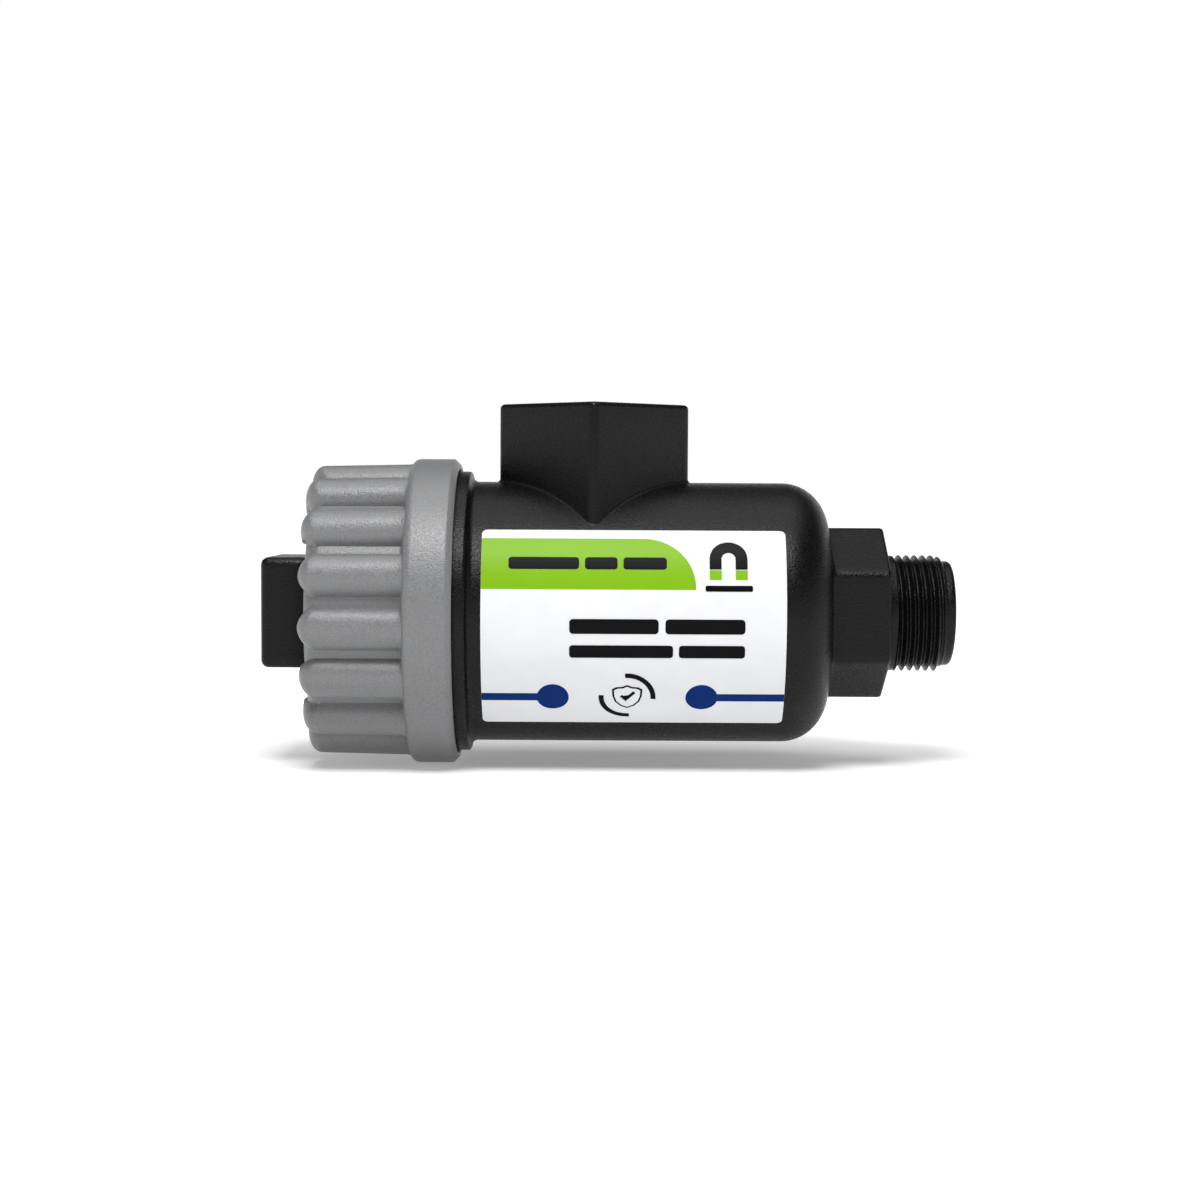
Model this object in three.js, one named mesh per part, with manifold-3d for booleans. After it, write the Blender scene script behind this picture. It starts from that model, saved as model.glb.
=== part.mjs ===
// Magnetic system filter for the heating circuit of a boiler, with a side inlet and an in-line outlet.
// Return water enters the square port on top, passes the strainer, drops its magnetite on the pocket that
// holds the magnets and leaves through the threaded outlet. A ribbed nut holds the cartridge.
// Millimetres, +Z up. X runs along the filter, from the magnet knob towards the outlet.
// The origin is the centre of the inlet's rim, where the filter hangs on its pipe.

import * as THREE from "three";
import { mergeVertices } from "three/addons/utils/BufferGeometryUtils.js";
import Module from "manifold-3d";

const wasm = await Module();
wasm.setup();

// ---- Driving dimensions -------------------------------------------------------------------------

// Clearances
const FIT = 0.3; // between pieces that rest on or slide in each other
const RING_GAP = 0.1; // round an O-ring's section
const RUN_OUT = 1; // how far a cut runs past the face that it opens
const SUNK = 0.4; // how deep a ridge's foot stands in its root
const LABEL_GAP = 0.12; // the adhesive under the label

// Facets in a full circle, in steps of four so that threads and bores share their facets
const ROUND = 40;
const MEDIUM = 32;
const SMALL = 24;
const TINY = 12;

// Housing: a moulded barrel with a ring, a domed end, a square inlet and a threaded outlet
const BODY_R = 29.4;
const BODY_WALL = 4.4;
const BODY_LENGTH = 80.4; // from the ring's inner side to the end of the dome
const INLET_OFFSET = 27.6; // from the ring's inner side to the inlet's axis
const DOME_R = 10.2; // radius of the domed corner
const END_WALL = 4.2;
const RING_WIDTH = 3.6;
const RING_STEP = 0.8; // the ring over the union thread
const RING_ROUND = 0.8;
const RING_FILLET = 1.5;

// Union thread between the housing and the nut: three starts
const NECK_WALL = 4;
const NECK_LENGTH = 8;
const NECK_CHAMFER = 0.5;
const SEAL_BORE_STEP = 0.2; // the seal's bore over the chamber's
const UNION_PITCH = 3;
const UNION_STARTS = 3;
const UNION_DEPTH = 1.7;
const UNION_BASE_WIDTH = 1.6;
const UNION_CREST_WIDTH = 0.7;
const UNION_SIDE_GAP = 0.35;
const UNION_ROOT_GAP = 0.4;
const UNION_FADE = 0.12; // of a turn, where a ridge's ends fade out
const UNION_START = 1.2; // from the mouth to the first ridge
const UNION_STOP = 1; // from the last ridge to the ring

// Pipe thread G 3/4, ISO 228
const PIPE_MAJOR_R = 13.22;
const PIPE_DEPTH = 1.16;
const PIPE_PITCH = 1.814;
const PIPE_BASE_WIDTH = 1.5;
const PIPE_CREST_WIDTH = 0.26;

// Inlet
const INLET_WALL = 2.28; // from the thread to the square's flats
const INLET_CORNER = 1.8;
const INLET_BEVEL = 1;
const INLET_HEIGHT = 47; // from the barrel's axis to the rim
const INLET_DEPTH = 15; // from the rim to the gasket's seat
const INLET_LEDGE = 1.56; // the gasket's seat
const INLET_CHAMFER = 0.4;
const INLET_RELIEF = 1.2; // plain bore over the gasket's seat
const GASKET_THICKNESS = 2;

// Outlet
const HEX_FLATS = 34;
const HEX_CORNER = 2;
const HEX_BEVEL = 0.8;
const HEX_LENGTH = 13.1;
const OUTLET_LENGTH = 15.2;
const OUTLET_WALL = 2.56;
const OUTLET_COLLAR = 2.3;
const OUTLET_COLLAR_CHAMFER = 0.6;
const OUTLET_NOSE = 1; // rounding of the thread's end
const OUTLET_LEAD_IN = 1.8;

// Union nut
const NUT_WALL = 3;
const NUT_END_WALL = 5.9;
const COLLAR_WALL = 3.3;
const COLLAR_PAST_NECK = 2.8; // over the end of the housing's neck
const COLLAR_ROUND = 2;
const COLLAR_FILLET = 0.8;
const COLLAR_CHAMFER = 1.3;
const COLLAR_OVERLAP = 0.9; // over the housing's ring
const COLLAR_RING_GAP = 0.6;
const RIBS = 16;
const RIB_HEIGHT = 2.8;
const RIB_SHARE = 0.79; // of the pitch; the rest is valley
const RIB_ROUND = 3.8; // the rounded end
const RIB_SEGMENTS = 6;
const RIB_PHASE = 6.8; // degrees from the front up to the nearest valley's middle

// Cartridge cover
const COVER_LENGTH = 17.5;
const COVER_END_WALL = 3.7;
const COVER_LEDGE = 1.7; // over the housing's mouth
const COVER_CHAMFER = 0.6;
const SPIGOT_LENGTH = 10;
const SPIGOT_WALL = 4.4;
const HUB_R = 18.6;
const HUB_CHAMFER = 0.4;
const HUB_RECESS = 0.5; // the hub stays this far inside the nut's face
const O_RING_R = 1.05; // section of the cover's O-ring
const O_RING_X = 4.5; // from the cover's flange
const GROOVE_SIDE = 1.4; // half the width of its groove
const WASHER_THICKNESS = 0.5;
const WASHER_GAP = 0.25;
const WASHER_INSET = 1.2; // from the cover's rim
const SNAP_RING_THICKNESS = 0.8;
const SNAP_RING_REACH = 2.6; // of its eyes, over the hub
const SNAP_RING_WIDTH = 2.55;
const SNAP_RING_EYE_R = 1.5;
const SNAP_RING_HOLE_R = 0.6;
const SNAP_RING_PLAY = 1; // between its eyes and the nut's recess
const SNAP_RING_GAP = 0.2; // on each side
const SNAP_RING_BITE = 0.85; // into the hub's groove
const SNAP_GROOVE_DEPTH = 1;
const SNAP_RING_OPENING = 24; // degrees
const SNAP_RING_RECESS = 2.5;

// Magnet pocket
const POCKET_R = 11;
const POCKET_WALL = 0.8;
const POCKET_RECESS = 3.2; // from the hub's face to the pocket's mouth
const POCKET_ROUND = 3;
const POCKET_FLANGE = 5; // past the tube
const POCKET_FLANGE_THICKNESS = 1.8;
const POCKET_TO_CAP = 10.6; // free way from the pocket's closed end to the strainer's cap
const POCKET_O_RING_R = 0.85;
const POCKET_GLAND = 2.1;

// Strainer
const CAGE_WALL = 1.5;
const CAGE_BASE = 2.2;
const CAGE_BAR_SHARE = 0.28; // of the circle that the bars take
const CAGE_BARS = 6;
const CAGE_WINDOW_ROWS = 3;
const CAGE_HOOP = 3;
const SCREEN_WALL = 0.3;
const SCREEN_SLOTS = 8; // round the screen
const SCREEN_HOLE = 7;
const CAP_THICKNESS = 2;
const CAP_CLEARANCE = 2; // from the cap to the housing's end
const SEAT_DEPTH = 6.3;
const SEAT_CONE = 2; // from the seat down to the outlet's bore
const SEAT_WALL = 3.8; // around the strainer's seat, inside the hexagon
const CAP_SPIGOT_WALL = 3.1;
const CAP_TO_SEAT = 1; // end play
const CAP_GROOVE_SIDE = 1; // half the width of its groove
const CAP_CHAMFER = 0.5;
const CAP_O_RING_R = 0.8;

// Magnet core
const KNOB_SIDE = 24.7;
const KNOB_LENGTH = 10.5;
const KNOB_CORNER = 1.5;
const KNOB_BEVEL = 1.2;
const PLUG_LENGTH = 8.4; // the knob's round plug inside the pocket
const CORE_O_RING_R = 0.7;
const CORE_O_RING_INSET = 2.4; // from the plug's end
const CORE_GROOVE_SIDE = 0.9;
const MAGNETS = 6;
const MAGNET_GAP = 1.2; // round the magnets, inside the pocket
const POLE_THICKNESS = 2.4;
const POLE_STEP = 0.3; // over the magnets
const ROD_R = 2.5;
const ROD_CHAMFER = 0.6;
const ROD_IN_KNOB = 6;
const ROD_NUT_FLATS = 8;
const ROD_NUT_LENGTH = 4;
const ROD_PAST_NUT = 1.2;
const ROD_TO_POCKET = 2.3; // free way at the closed end

// Label
const LABEL_THICKNESS = 0.2;
const LABEL_MARGIN_RING = 3.4; // from the ring's inner side
const LABEL_MARGIN_DOME = 0.9; // from where the dome starts
const LABEL_MARGIN_INLET = 2; // from the inlet's corner, round the barrel
const LABEL_BOTTOM = 52; // degrees below the front
const LABEL_CORNER = 1.2;

// ---- Derived places -----------------------------------------------------------------------------

const RING_X1 = -INLET_OFFSET;
const RING_X0 = RING_X1 - RING_WIDTH;
const MOUTH_X = RING_X0 - NECK_LENGTH;
const DOME_X1 = RING_X1 + BODY_LENGTH;
const INNER_END_X = DOME_X1 - END_WALL;
const HEX_X1 = DOME_X1 + HEX_LENGTH;
const OUTLET_X1 = HEX_X1 + OUTLET_LENGTH;
const PIPE_MINOR_R = PIPE_MAJOR_R - PIPE_DEPTH;
const INLET_SIDE = 2 * (PIPE_MAJOR_R + INLET_WALL);
const INLET_PASSAGE_R = PIPE_MINOR_R - INLET_LEDGE;
const OUTLET_BORE_R = PIPE_MINOR_R - OUTLET_WALL;

const CHAMBER_R = BODY_R - BODY_WALL;
const SEAL_BORE_R = CHAMBER_R + SEAL_BORE_STEP;
const NECK_R = SEAL_BORE_R + NECK_WALL;
const UNION_CREST_R = NECK_R + UNION_DEPTH;
const UNION_LEAD = UNION_PITCH * UNION_STARTS;
const RING_R = UNION_CREST_R + RING_STEP;
const SEAT_R = HEX_FLATS / 2 - SEAT_WALL;
const SEAT_X1 = INNER_END_X + SEAT_DEPTH;
const SEAL_BORE_X1 = MOUTH_X + SPIGOT_LENGTH;
const INLET_SEAT_Z = INLET_HEIGHT - INLET_DEPTH;

const FLANGE_X = MOUTH_X - FIT;
const COVER_X0 = FLANGE_X - COVER_LENGTH;
const COVER_INNER_X = COVER_X0 + COVER_END_WALL;
const SPIGOT_R = SEAL_BORE_R - FIT;
const SPIGOT_X1 = FLANGE_X + SPIGOT_LENGTH;
const HOLLOW_R = SPIGOT_R - SPIGOT_WALL;
const COVER_R = SEAL_BORE_R + COVER_LEDGE;

const NUT_CAVITY_R = COVER_R + FIT;
const NUT_INNER_X = COVER_X0 - WASHER_THICKNESS - 2 * WASHER_GAP;
const NUT_X0 = NUT_INNER_X - NUT_END_WALL;
const NUT_X1 = RING_X0 + COLLAR_OVERLAP;
const COLLAR_X0 = MOUTH_X - COLLAR_PAST_NECK;
const NUT_MINOR_R = NECK_R + UNION_ROOT_GAP;
const NUT_MAJOR_R = UNION_CREST_R + FIT;
const COLLAR_R = NUT_MAJOR_R + COLLAR_WALL;
const VALLEY_R = NUT_CAVITY_R + NUT_WALL;
const HUB_X0 = NUT_X0 + HUB_RECESS;
const SNAP_FLOOR_X = NUT_X0 + SNAP_RING_RECESS;

const POCKET_BORE_R = POCKET_R - POCKET_WALL;
const POCKET_X0 = HUB_X0 + POCKET_RECESS;
const CAP_X0 = INNER_END_X - CAP_CLEARANCE - CAP_THICKNESS;
const POCKET_X1 = CAP_X0 - POCKET_TO_CAP;
const POCKET_FLANGE_X = COVER_INNER_X + FIT;
const CAGE_X0 = POCKET_FLANGE_X + POCKET_FLANGE_THICKNESS + FIT;
const CAGE_R = HOLLOW_R - FIT;
const SCREEN_R = CAGE_R - CAGE_WALL - FIT;
const CAP_SPIGOT_R = SEAT_R - FIT - RING_GAP;

const KNOB_X1 = HUB_X0 - FIT;
const KNOB_X0 = KNOB_X1 - KNOB_LENGTH;
const PLUG_X1 = KNOB_X1 + PLUG_LENGTH;
const PLUG_R = POCKET_BORE_R - FIT;
const CORE_O_RING_X = PLUG_X1 - CORE_O_RING_INSET;
const MAGNET_R = POCKET_BORE_R - MAGNET_GAP;
const ROD_HOLE_R = ROD_R + FIT;
const ROD_X1 = POCKET_X1 - POCKET_WALL - ROD_TO_POCKET;
const ROD_NUT_X0 = ROD_X1 - ROD_PAST_NUT - ROD_NUT_LENGTH;
const STACK_LENGTH = ROD_NUT_X0 - PLUG_X1 - FIT * (2 * MAGNETS + 2);
const MAGNET_LENGTH = (STACK_LENGTH - POLE_THICKNESS * (MAGNETS + 1)) / MAGNETS;

// ---- Materials ----------------------------------------------------------------------------------

const plastic = (color, roughness) => new THREE.MeshStandardMaterial({ color, roughness, metalness: 0 });
const metal = (color, roughness) => new THREE.MeshStandardMaterial({ color, roughness, metalness: 1 });
const BLACK_NYLON = plastic(0x1d1e20, 0.5);
const GREY_NYLON = plastic(0x87898c, 0.55);
const WHITE_FILM = plastic(0xe9eaee, 0.35);
const PALE_ACETAL = plastic(0xe6e3d8, 0.4);
const RUBBER = plastic(0x141414, 0.8);
const STAINLESS = metal(0xc4c6c8, 0.3);
const NICKEL = metal(0xb9b7b0, 0.22);
const SOFT_STEEL = metal(0x8c8f93, 0.4);

// ---- Solids -------------------------------------------------------------------------------------

// A closed three.js geometry as a manifold-3d solid.
function solidOf(geometry) {
  const bare = new THREE.BufferGeometry();
  const flat = geometry.index ? geometry.toNonIndexed() : geometry;
  bare.setAttribute("position", flat.getAttribute("position"));
  const merged = mergeVertices(bare, 1e-4);
  const corners = merged.index.array;
  const kept = [];
  for (let i = 0; i < corners.length; i += 3) {
    const [a, b, c] = corners.subarray(i, i + 3);
    if (a !== b && b !== c && c !== a) kept.push(a, b, c);
  }
  return new wasm.Manifold(
    new wasm.Mesh({
      numProp: 3,
      vertProperties: merged.getAttribute("position").array,
      triVerts: new Uint32Array(kept),
    }),
  );
}

// A manifold-3d solid as a three.js geometry.
function geometryOf(made) {
  const { vertProperties, triVerts } = made.getMesh();
  const geometry = new THREE.BufferGeometry();
  geometry.setAttribute("position", new THREE.BufferAttribute(vertProperties, 3));
  geometry.setIndex(new THREE.BufferAttribute(triVerts, 1));
  geometry.computeVertexNormals();
  return geometry;
}

const joined = (first, ...others) => others.reduce((sum, next) => sum.add(next), first);
const cut = (first, ...others) => others.reduce((rest, next) => rest.subtract(next), first);

// The outline's area, positive where its [along, radius] points run anticlockwise.
function areaOf(outline) {
  const crossOf = ([x, r], i) => {
    const [nextX, nextR] = outline[(i + 1) % outline.length];
    return x * nextR - nextX * r;
  };
  return outline.reduce((sum, point, i) => sum + crossOf(point, i), 0) / 2;
}

// A closed outline of [along, radius] points turned round an axis.
function turned(outline, facets = ROUND, axis = "x") {
  const ordered = areaOf(outline) < 0 ? outline : [...outline].reverse();
  const points = ordered.map(([along, radius]) => new THREE.Vector2(radius, along));
  const lathe = new THREE.LatheGeometry([...points, points[0].clone()], facets);
  if (axis === "x") lathe.rotateZ(-Math.PI / 2);
  else lathe.rotateX(Math.PI / 2);
  return solidOf(lathe);
}

// Points on an arc in the [along, radius] plane, from one angle to another in degrees.
function arc(alongCentre, radiusCentre, radius, from, to, steps = 4) {
  return Array.from({ length: steps + 1 }, (_, i) => {
    const angle = THREE.MathUtils.degToRad(from + ((to - from) * i) / steps);
    return [alongCentre + radius * Math.cos(angle), radiusCentre + radius * Math.sin(angle)];
  });
}

// A plain ring or, with no inner radius, a plain cylinder.
function ring(x0, x1, outer, inner = 0, facets = MEDIUM, axis = "x") {
  return turned([[x0, inner], [x1, inner], [x1, outer], [x0, outer]], facets, axis);
}

// A ring of round section.
function oRing(x, centreR, sectionR, facets = SMALL) {
  return turned(arc(x, centreR, sectionR, 0, 288, 4), facets);
}

// A regular polygon with round corners, extruded along X from x0 to x1, with bevelled ends.
function prism({ sides, flats, corner, x0, x1, turn = 0, bevel = 0 }) {
  const half = Math.PI / sides;
  const centreR = (flats / 2 - corner) / Math.cos(half);
  const shape = new THREE.Shape();
  for (let i = 0; i < sides; i += 1) {
    const angle = turn + 2 * half * i;
    const centre = [centreR * Math.cos(angle), centreR * Math.sin(angle)];
    shape.absarc(...centre, corner, angle - half, angle + half, false);
  }
  const geometry = new THREE.ExtrudeGeometry(shape, {
    depth: x1 - x0 - 2 * bevel,
    bevelEnabled: bevel > 0,
    bevelThickness: bevel,
    bevelSize: bevel,
    bevelOffset: -bevel,
    bevelSegments: 2,
    curveSegments: 3,
  });
  geometry.translate(0, 0, x0 + bevel);
  return geometry.rotateY(Math.PI / 2);
}

// A right-hand thread ridge round X. Its middle passes phaseX on the +Y side, and both ends fade out.
function threadRidge({ rootR, crestR, baseWidth, crestWidth, lead, x0, x1, phaseX, perTurn }) {
  const facet = (2 * Math.PI) / perTurn;
  const firstStep = Math.ceil(((x0 - phaseX) / lead) * perTurn);
  const steps = Math.floor(((x1 - phaseX) / lead) * perTurn) - firstStep;
  const sweep = steps * facet;
  const section = new THREE.Shape([
    new THREE.Vector2(-baseWidth / 2, rootR - SUNK),
    new THREE.Vector2(baseWidth / 2, rootR - SUNK),
    new THREE.Vector2(crestWidth / 2, crestR),
    new THREE.Vector2(-crestWidth / 2, crestR),
  ]);
  const bar = new THREE.ExtrudeGeometry(section, { depth: sweep, steps, bevelEnabled: false });
  const position = bar.getAttribute("position");
  const fadeAngle = UNION_FADE * 2 * Math.PI;
  for (let i = 0; i < position.count; i += 1) {
    const swept = position.getZ(i);
    const angle = firstStep * facet + swept;
    const shown = Math.min(1, swept / fadeAngle, (sweep - swept) / fadeAngle);
    const high = position.getY(i) > rootR;
    const radius = high ? rootR - SUNK / 2 + (crestR - rootR + SUNK / 2) * shown : rootR - SUNK;
    const along = phaseX + (lead * angle) / (2 * Math.PI) + position.getX(i);
    position.setXYZ(i, along, radius * Math.cos(angle), radius * Math.sin(angle));
  }
  return bar;
}

// ---- Housing ------------------------------------------------------------------------------------

// The union thread as one solid per start. The nut's grooves are the same ridges, made wider by a gap.
function unionRidges(x0, x1, sideGap, crestR) {
  return Array.from({ length: UNION_STARTS }, (_, start) =>
    solidOf(
      threadRidge({
        rootR: NECK_R,
        crestR,
        baseWidth: UNION_BASE_WIDTH + 2 * sideGap,
        crestWidth: UNION_CREST_WIDTH + 2 * sideGap,
        lead: UNION_LEAD,
        x0,
        x1,
        phaseX: MOUTH_X + start * UNION_PITCH,
        perTurn: ROUND,
      }),
    ),
  );
}

// A rod with the pipe thread, as one closed surface that winds past x0 and x1.
function pipeRod(x0, x1, phaseX) {
  const firstX = phaseX - Math.ceil((phaseX - x0) / PIPE_PITCH + 1) * PIPE_PITCH;
  const turns = Math.ceil((x1 - firstX) / PIPE_PITCH) + 1;
  const last = turns * SMALL;
  const section = [
    [-PIPE_BASE_WIDTH / 2, PIPE_MINOR_R],
    [-PIPE_CREST_WIDTH / 2, PIPE_MAJOR_R],
    [PIPE_CREST_WIDTH / 2, PIPE_MAJOR_R],
    [PIPE_BASE_WIDTH / 2, PIPE_MINOR_R],
  ];
  const points = [];
  for (let step = 0; step <= last; step += 1) {
    const angle = (2 * Math.PI * step) / SMALL;
    for (const [along, radius] of section) {
      const x = firstX + (PIPE_PITCH * step) / SMALL + along;
      points.push(x, radius * Math.cos(angle), radius * Math.sin(angle));
    }
  }
  const startCentre = points.length / 3;
  points.push(firstX, 0, 0, firstX + turns * PIPE_PITCH, 0, 0);
  const at = (step, place) => 4 * step + place;
  const faces = [];
  const quad = (a, b, c, d) => faces.push(a, b, c, a, c, d);
  for (let step = 0; step < last; step += 1) {
    for (let i = 0; i < 3; i += 1) {
      quad(at(step, i), at(step + 1, i), at(step + 1, i + 1), at(step, i + 1));
    }
    const next = step + SMALL;
    if (next < last) quad(at(step, 3), at(step + 1, 3), at(next + 1, 0), at(next, 0));
    if (step < SMALL) faces.push(startCentre, at(step + 1, 0), at(step, 0));
    if (next >= last) faces.push(startCentre + 1, at(step, 3), at(step + 1, 3));
  }
  for (let i = 0; i < 3; i += 1) {
    faces.push(startCentre, at(0, i), at(0, i + 1));
    faces.push(startCentre + 1, at(last, i + 1), at(last, i));
  }
  faces.push(startCentre, at(0, 3), at(SMALL, 0));
  faces.push(startCentre + 1, at(last, 0), at(last - SMALL, 3));
  const rod = new THREE.BufferGeometry();
  rod.setAttribute("position", new THREE.Float32BufferAttribute(points, 3));
  rod.setIndex(faces);
  return rod;
}

function barrelOutside() {
  const filletX = RING_X1 + RING_FILLET;
  const domeX = DOME_X1 - DOME_R;
  return turned([
    [MOUTH_X, 0],
    [MOUTH_X, NECK_R - NECK_CHAMFER],
    [MOUTH_X + NECK_CHAMFER, NECK_R],
    [RING_X0, NECK_R],
    [RING_X0, RING_R - NECK_CHAMFER],
    [RING_X0 + NECK_CHAMFER, RING_R],
    ...arc(RING_X1 - RING_ROUND, RING_R - RING_ROUND, RING_ROUND, 90, 20, 2),
    ...arc(filletX, BODY_R + RING_FILLET, RING_FILLET, 190, 270, 2),
    ...arc(domeX, BODY_R - DOME_R, DOME_R, 90, 0, 6),
    [DOME_X1, 0],
  ]);
}

function outletOutside() {
  const hexagon = prism({
    sides: 6,
    flats: HEX_FLATS,
    corner: HEX_CORNER,
    x0: DOME_X1 - END_WALL,
    x1: HEX_X1,
    bevel: HEX_BEVEL,
  });
  const collarX = HEX_X1 + OUTLET_COLLAR;
  const leadInX = OUTLET_X1 - OUTLET_LEAD_IN;
  const collarPiece = turned(
    [
      [DOME_X1, 0],
      [DOME_X1, PIPE_MAJOR_R - OUTLET_COLLAR_CHAMFER / 2],
      [collarX - OUTLET_COLLAR_CHAMFER, PIPE_MAJOR_R - OUTLET_COLLAR_CHAMFER / 2],
      [collarX, PIPE_MINOR_R - SUNK / 2],
      [collarX, 0],
    ],
    SMALL,
  );
  const envelope = turned(
    [
      [collarX - OUTLET_COLLAR_CHAMFER, 0],
      [collarX - OUTLET_COLLAR_CHAMFER, PIPE_MAJOR_R + RUN_OUT],
      [leadInX - PIPE_DEPTH, PIPE_MAJOR_R + RUN_OUT],
      [leadInX, PIPE_MINOR_R],
      [OUTLET_X1 - OUTLET_NOSE, PIPE_MINOR_R - SUNK / 2],
      [OUTLET_X1, PIPE_MINOR_R - OUTLET_NOSE],
      [OUTLET_X1, 0],
    ],
    SMALL,
  );
  const thread = solidOf(pipeRod(HEX_X1, OUTLET_X1, HEX_X1));
  return joined(solidOf(hexagon), collarPiece, thread.intersect(envelope));
}

function inletOutside() {
  const square = prism({
    sides: 4,
    flats: INLET_SIDE,
    corner: INLET_CORNER,
    x0: 0,
    x1: INLET_HEIGHT,
    bevel: INLET_BEVEL,
  });
  return solidOf(square.rotateY(-Math.PI / 2));
}

function chamber() {
  const roundR = DOME_R - END_WALL;
  return turned(
    [
      [MOUTH_X - RUN_OUT, 0],
      [MOUTH_X - RUN_OUT, SEAL_BORE_R + NECK_CHAMFER + RUN_OUT],
      [MOUTH_X + NECK_CHAMFER, SEAL_BORE_R],
      [SEAL_BORE_X1, SEAL_BORE_R],
      [SEAL_BORE_X1, CHAMBER_R],
      ...arc(INNER_END_X - roundR, CHAMBER_R - roundR, roundR, 90, 0, 3),
      [INNER_END_X, SEAT_R],
      [SEAT_X1, SEAT_R],
      [SEAT_X1 + SEAT_CONE, OUTLET_BORE_R],
      [OUTLET_X1 + RUN_OUT, OUTLET_BORE_R],
      [OUTLET_X1 + RUN_OUT, 0],
    ],
    MEDIUM,
  );
}

function inletBore() {
  const reliefZ = INLET_SEAT_Z + INLET_RELIEF;
  const leadZ = INLET_HEIGHT - PIPE_DEPTH - INLET_CHAMFER;
  const mouthZ = INLET_HEIGHT + RUN_OUT;
  const passage = turned(
    [
      [0, 0],
      [0, INLET_PASSAGE_R],
      [INLET_SEAT_Z, INLET_PASSAGE_R],
      [INLET_SEAT_Z, PIPE_MINOR_R],
      [reliefZ + RUN_OUT, PIPE_MINOR_R - SUNK / 2],
      [reliefZ + RUN_OUT, 0],
    ],
    SMALL,
    "z",
  );
  const lead = turned(
    [
      [leadZ, 0],
      [leadZ, PIPE_MINOR_R],
      [mouthZ, PIPE_MAJOR_R + INLET_CHAMFER + RUN_OUT],
      [mouthZ, 0],
    ],
    SMALL,
    "z",
  );
  const thread = solidOf(pipeRod(reliefZ, mouthZ, INLET_HEIGHT).rotateY(-Math.PI / 2));
  const envelope = ring(reliefZ, mouthZ, PIPE_MAJOR_R + RUN_OUT, 0, SMALL, "z");
  return joined(passage, lead, thread.intersect(envelope));
}

function filterBody() {
  const thread = unionRidges(MOUTH_X + UNION_START, RING_X0 - UNION_STOP, 0, UNION_CREST_R);
  const outside = joined(barrelOutside(), outletOutside(), inletOutside(), ...thread);
  return cut(outside, chamber(), inletBore());
}

function inletGasket() {
  const z0 = INLET_SEAT_Z + FIT;
  return ring(z0, z0 + GASKET_THICKNESS, PIPE_MINOR_R - FIT, INLET_PASSAGE_R - FIT, SMALL, "z");
}

// The label: a thin film bent round the front of the barrel, cut from a flat outline.
function label() {
  const innerR = BODY_R + LABEL_GAP;
  const inletCorner = INLET_SIDE / Math.SQRT2 - INLET_CORNER * (Math.SQRT2 - 1);
  const low = -THREE.MathUtils.degToRad(LABEL_BOTTOM);
  const high = Math.acos(inletCorner / BODY_R) - LABEL_MARGIN_INLET / BODY_R;
  const cornerAngle = LABEL_CORNER / BODY_R;
  const x0 = RING_X1 + LABEL_MARGIN_RING;
  const x1 = DOME_X1 - DOME_R - LABEL_MARGIN_DOME;
  const rows = 16;
  const film = new THREE.BoxGeometry(1, 1, 1, 1, 1, rows);
  const position = film.getAttribute("position");
  for (let i = 0; i < position.count; i += 1) {
    const share = position.getZ(i) + 0.5;
    const angle = low + (high - low) * share;
    const toEdge = Math.min(angle - low, high - angle);
    const inset = LABEL_CORNER * Math.max(0, 1 - toEdge / cornerAngle);
    const along = position.getX(i) > 0 ? x1 - inset : x0 + inset;
    const radius = position.getY(i) < 0 ? innerR + LABEL_THICKNESS : innerR;
    position.setXYZ(i, along, -radius * Math.cos(angle), radius * Math.sin(angle));
  }
  return solidOf(film);
}

// ---- Union nut ----------------------------------------------------------------------------------

// How far the ribbed outline stands over the valleys, at an angle round X.
function ribHeight(angle) {
  const pitch = (2 * Math.PI) / RIBS;
  const fromFront = Math.PI - angle - THREE.MathUtils.degToRad(RIB_PHASE);
  const place = THREE.MathUtils.euclideanModulo(fromFront, pitch) / pitch - 0.5;
  const across = Math.min(1, Math.abs(place) / (RIB_SHARE / 2));
  return RIB_HEIGHT * Math.sqrt(1 - across ** 2.2);
}

// The ribbed barrel of the nut: a turned blank whose rim is pushed out into ribs.
function ribbedBarrel() {
  const roundX = NUT_X0 + RIB_ROUND;
  const blank = [
    [NUT_X0, 0],
    ...arc(roundX, VALLEY_R - RIB_ROUND, RIB_ROUND, 180, 90, 3),
    [COLLAR_X0 + COLLAR_ROUND, VALLEY_R],
    [COLLAR_X0 + COLLAR_ROUND, 0],
  ];
  const points = blank.map(([x, r]) => new THREE.Vector2(r, x));
  const lathe = new THREE.LatheGeometry([...points, points[0].clone()], RIBS * RIB_SEGMENTS);
  lathe.rotateZ(-Math.PI / 2);
  const position = lathe.getAttribute("position");
  for (let i = 0; i < position.count; i += 1) {
    const [x, y, z] = [position.getX(i), position.getY(i), position.getZ(i)];
    const radius = Math.hypot(y, z);
    if (radius < VALLEY_R - RIB_ROUND - 0.01) continue;
    const grown = (radius + ribHeight(Math.atan2(z, y))) / radius;
    position.setXYZ(i, x, y * grown, z * grown);
  }
  return solidOf(lathe);
}

function collar() {
  return turned([
    [COLLAR_X0 - COLLAR_FILLET, 0],
    [COLLAR_X0 - COLLAR_FILLET, VALLEY_R],
    [COLLAR_X0, COLLAR_R - COLLAR_ROUND],
    ...arc(COLLAR_X0 + COLLAR_ROUND, COLLAR_R - COLLAR_ROUND, COLLAR_ROUND, 160, 90, 3),
    [NUT_X1 - COLLAR_CHAMFER, COLLAR_R],
    [NUT_X1, COLLAR_R - COLLAR_CHAMFER],
    [NUT_X1, 0],
  ]);
}

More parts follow.
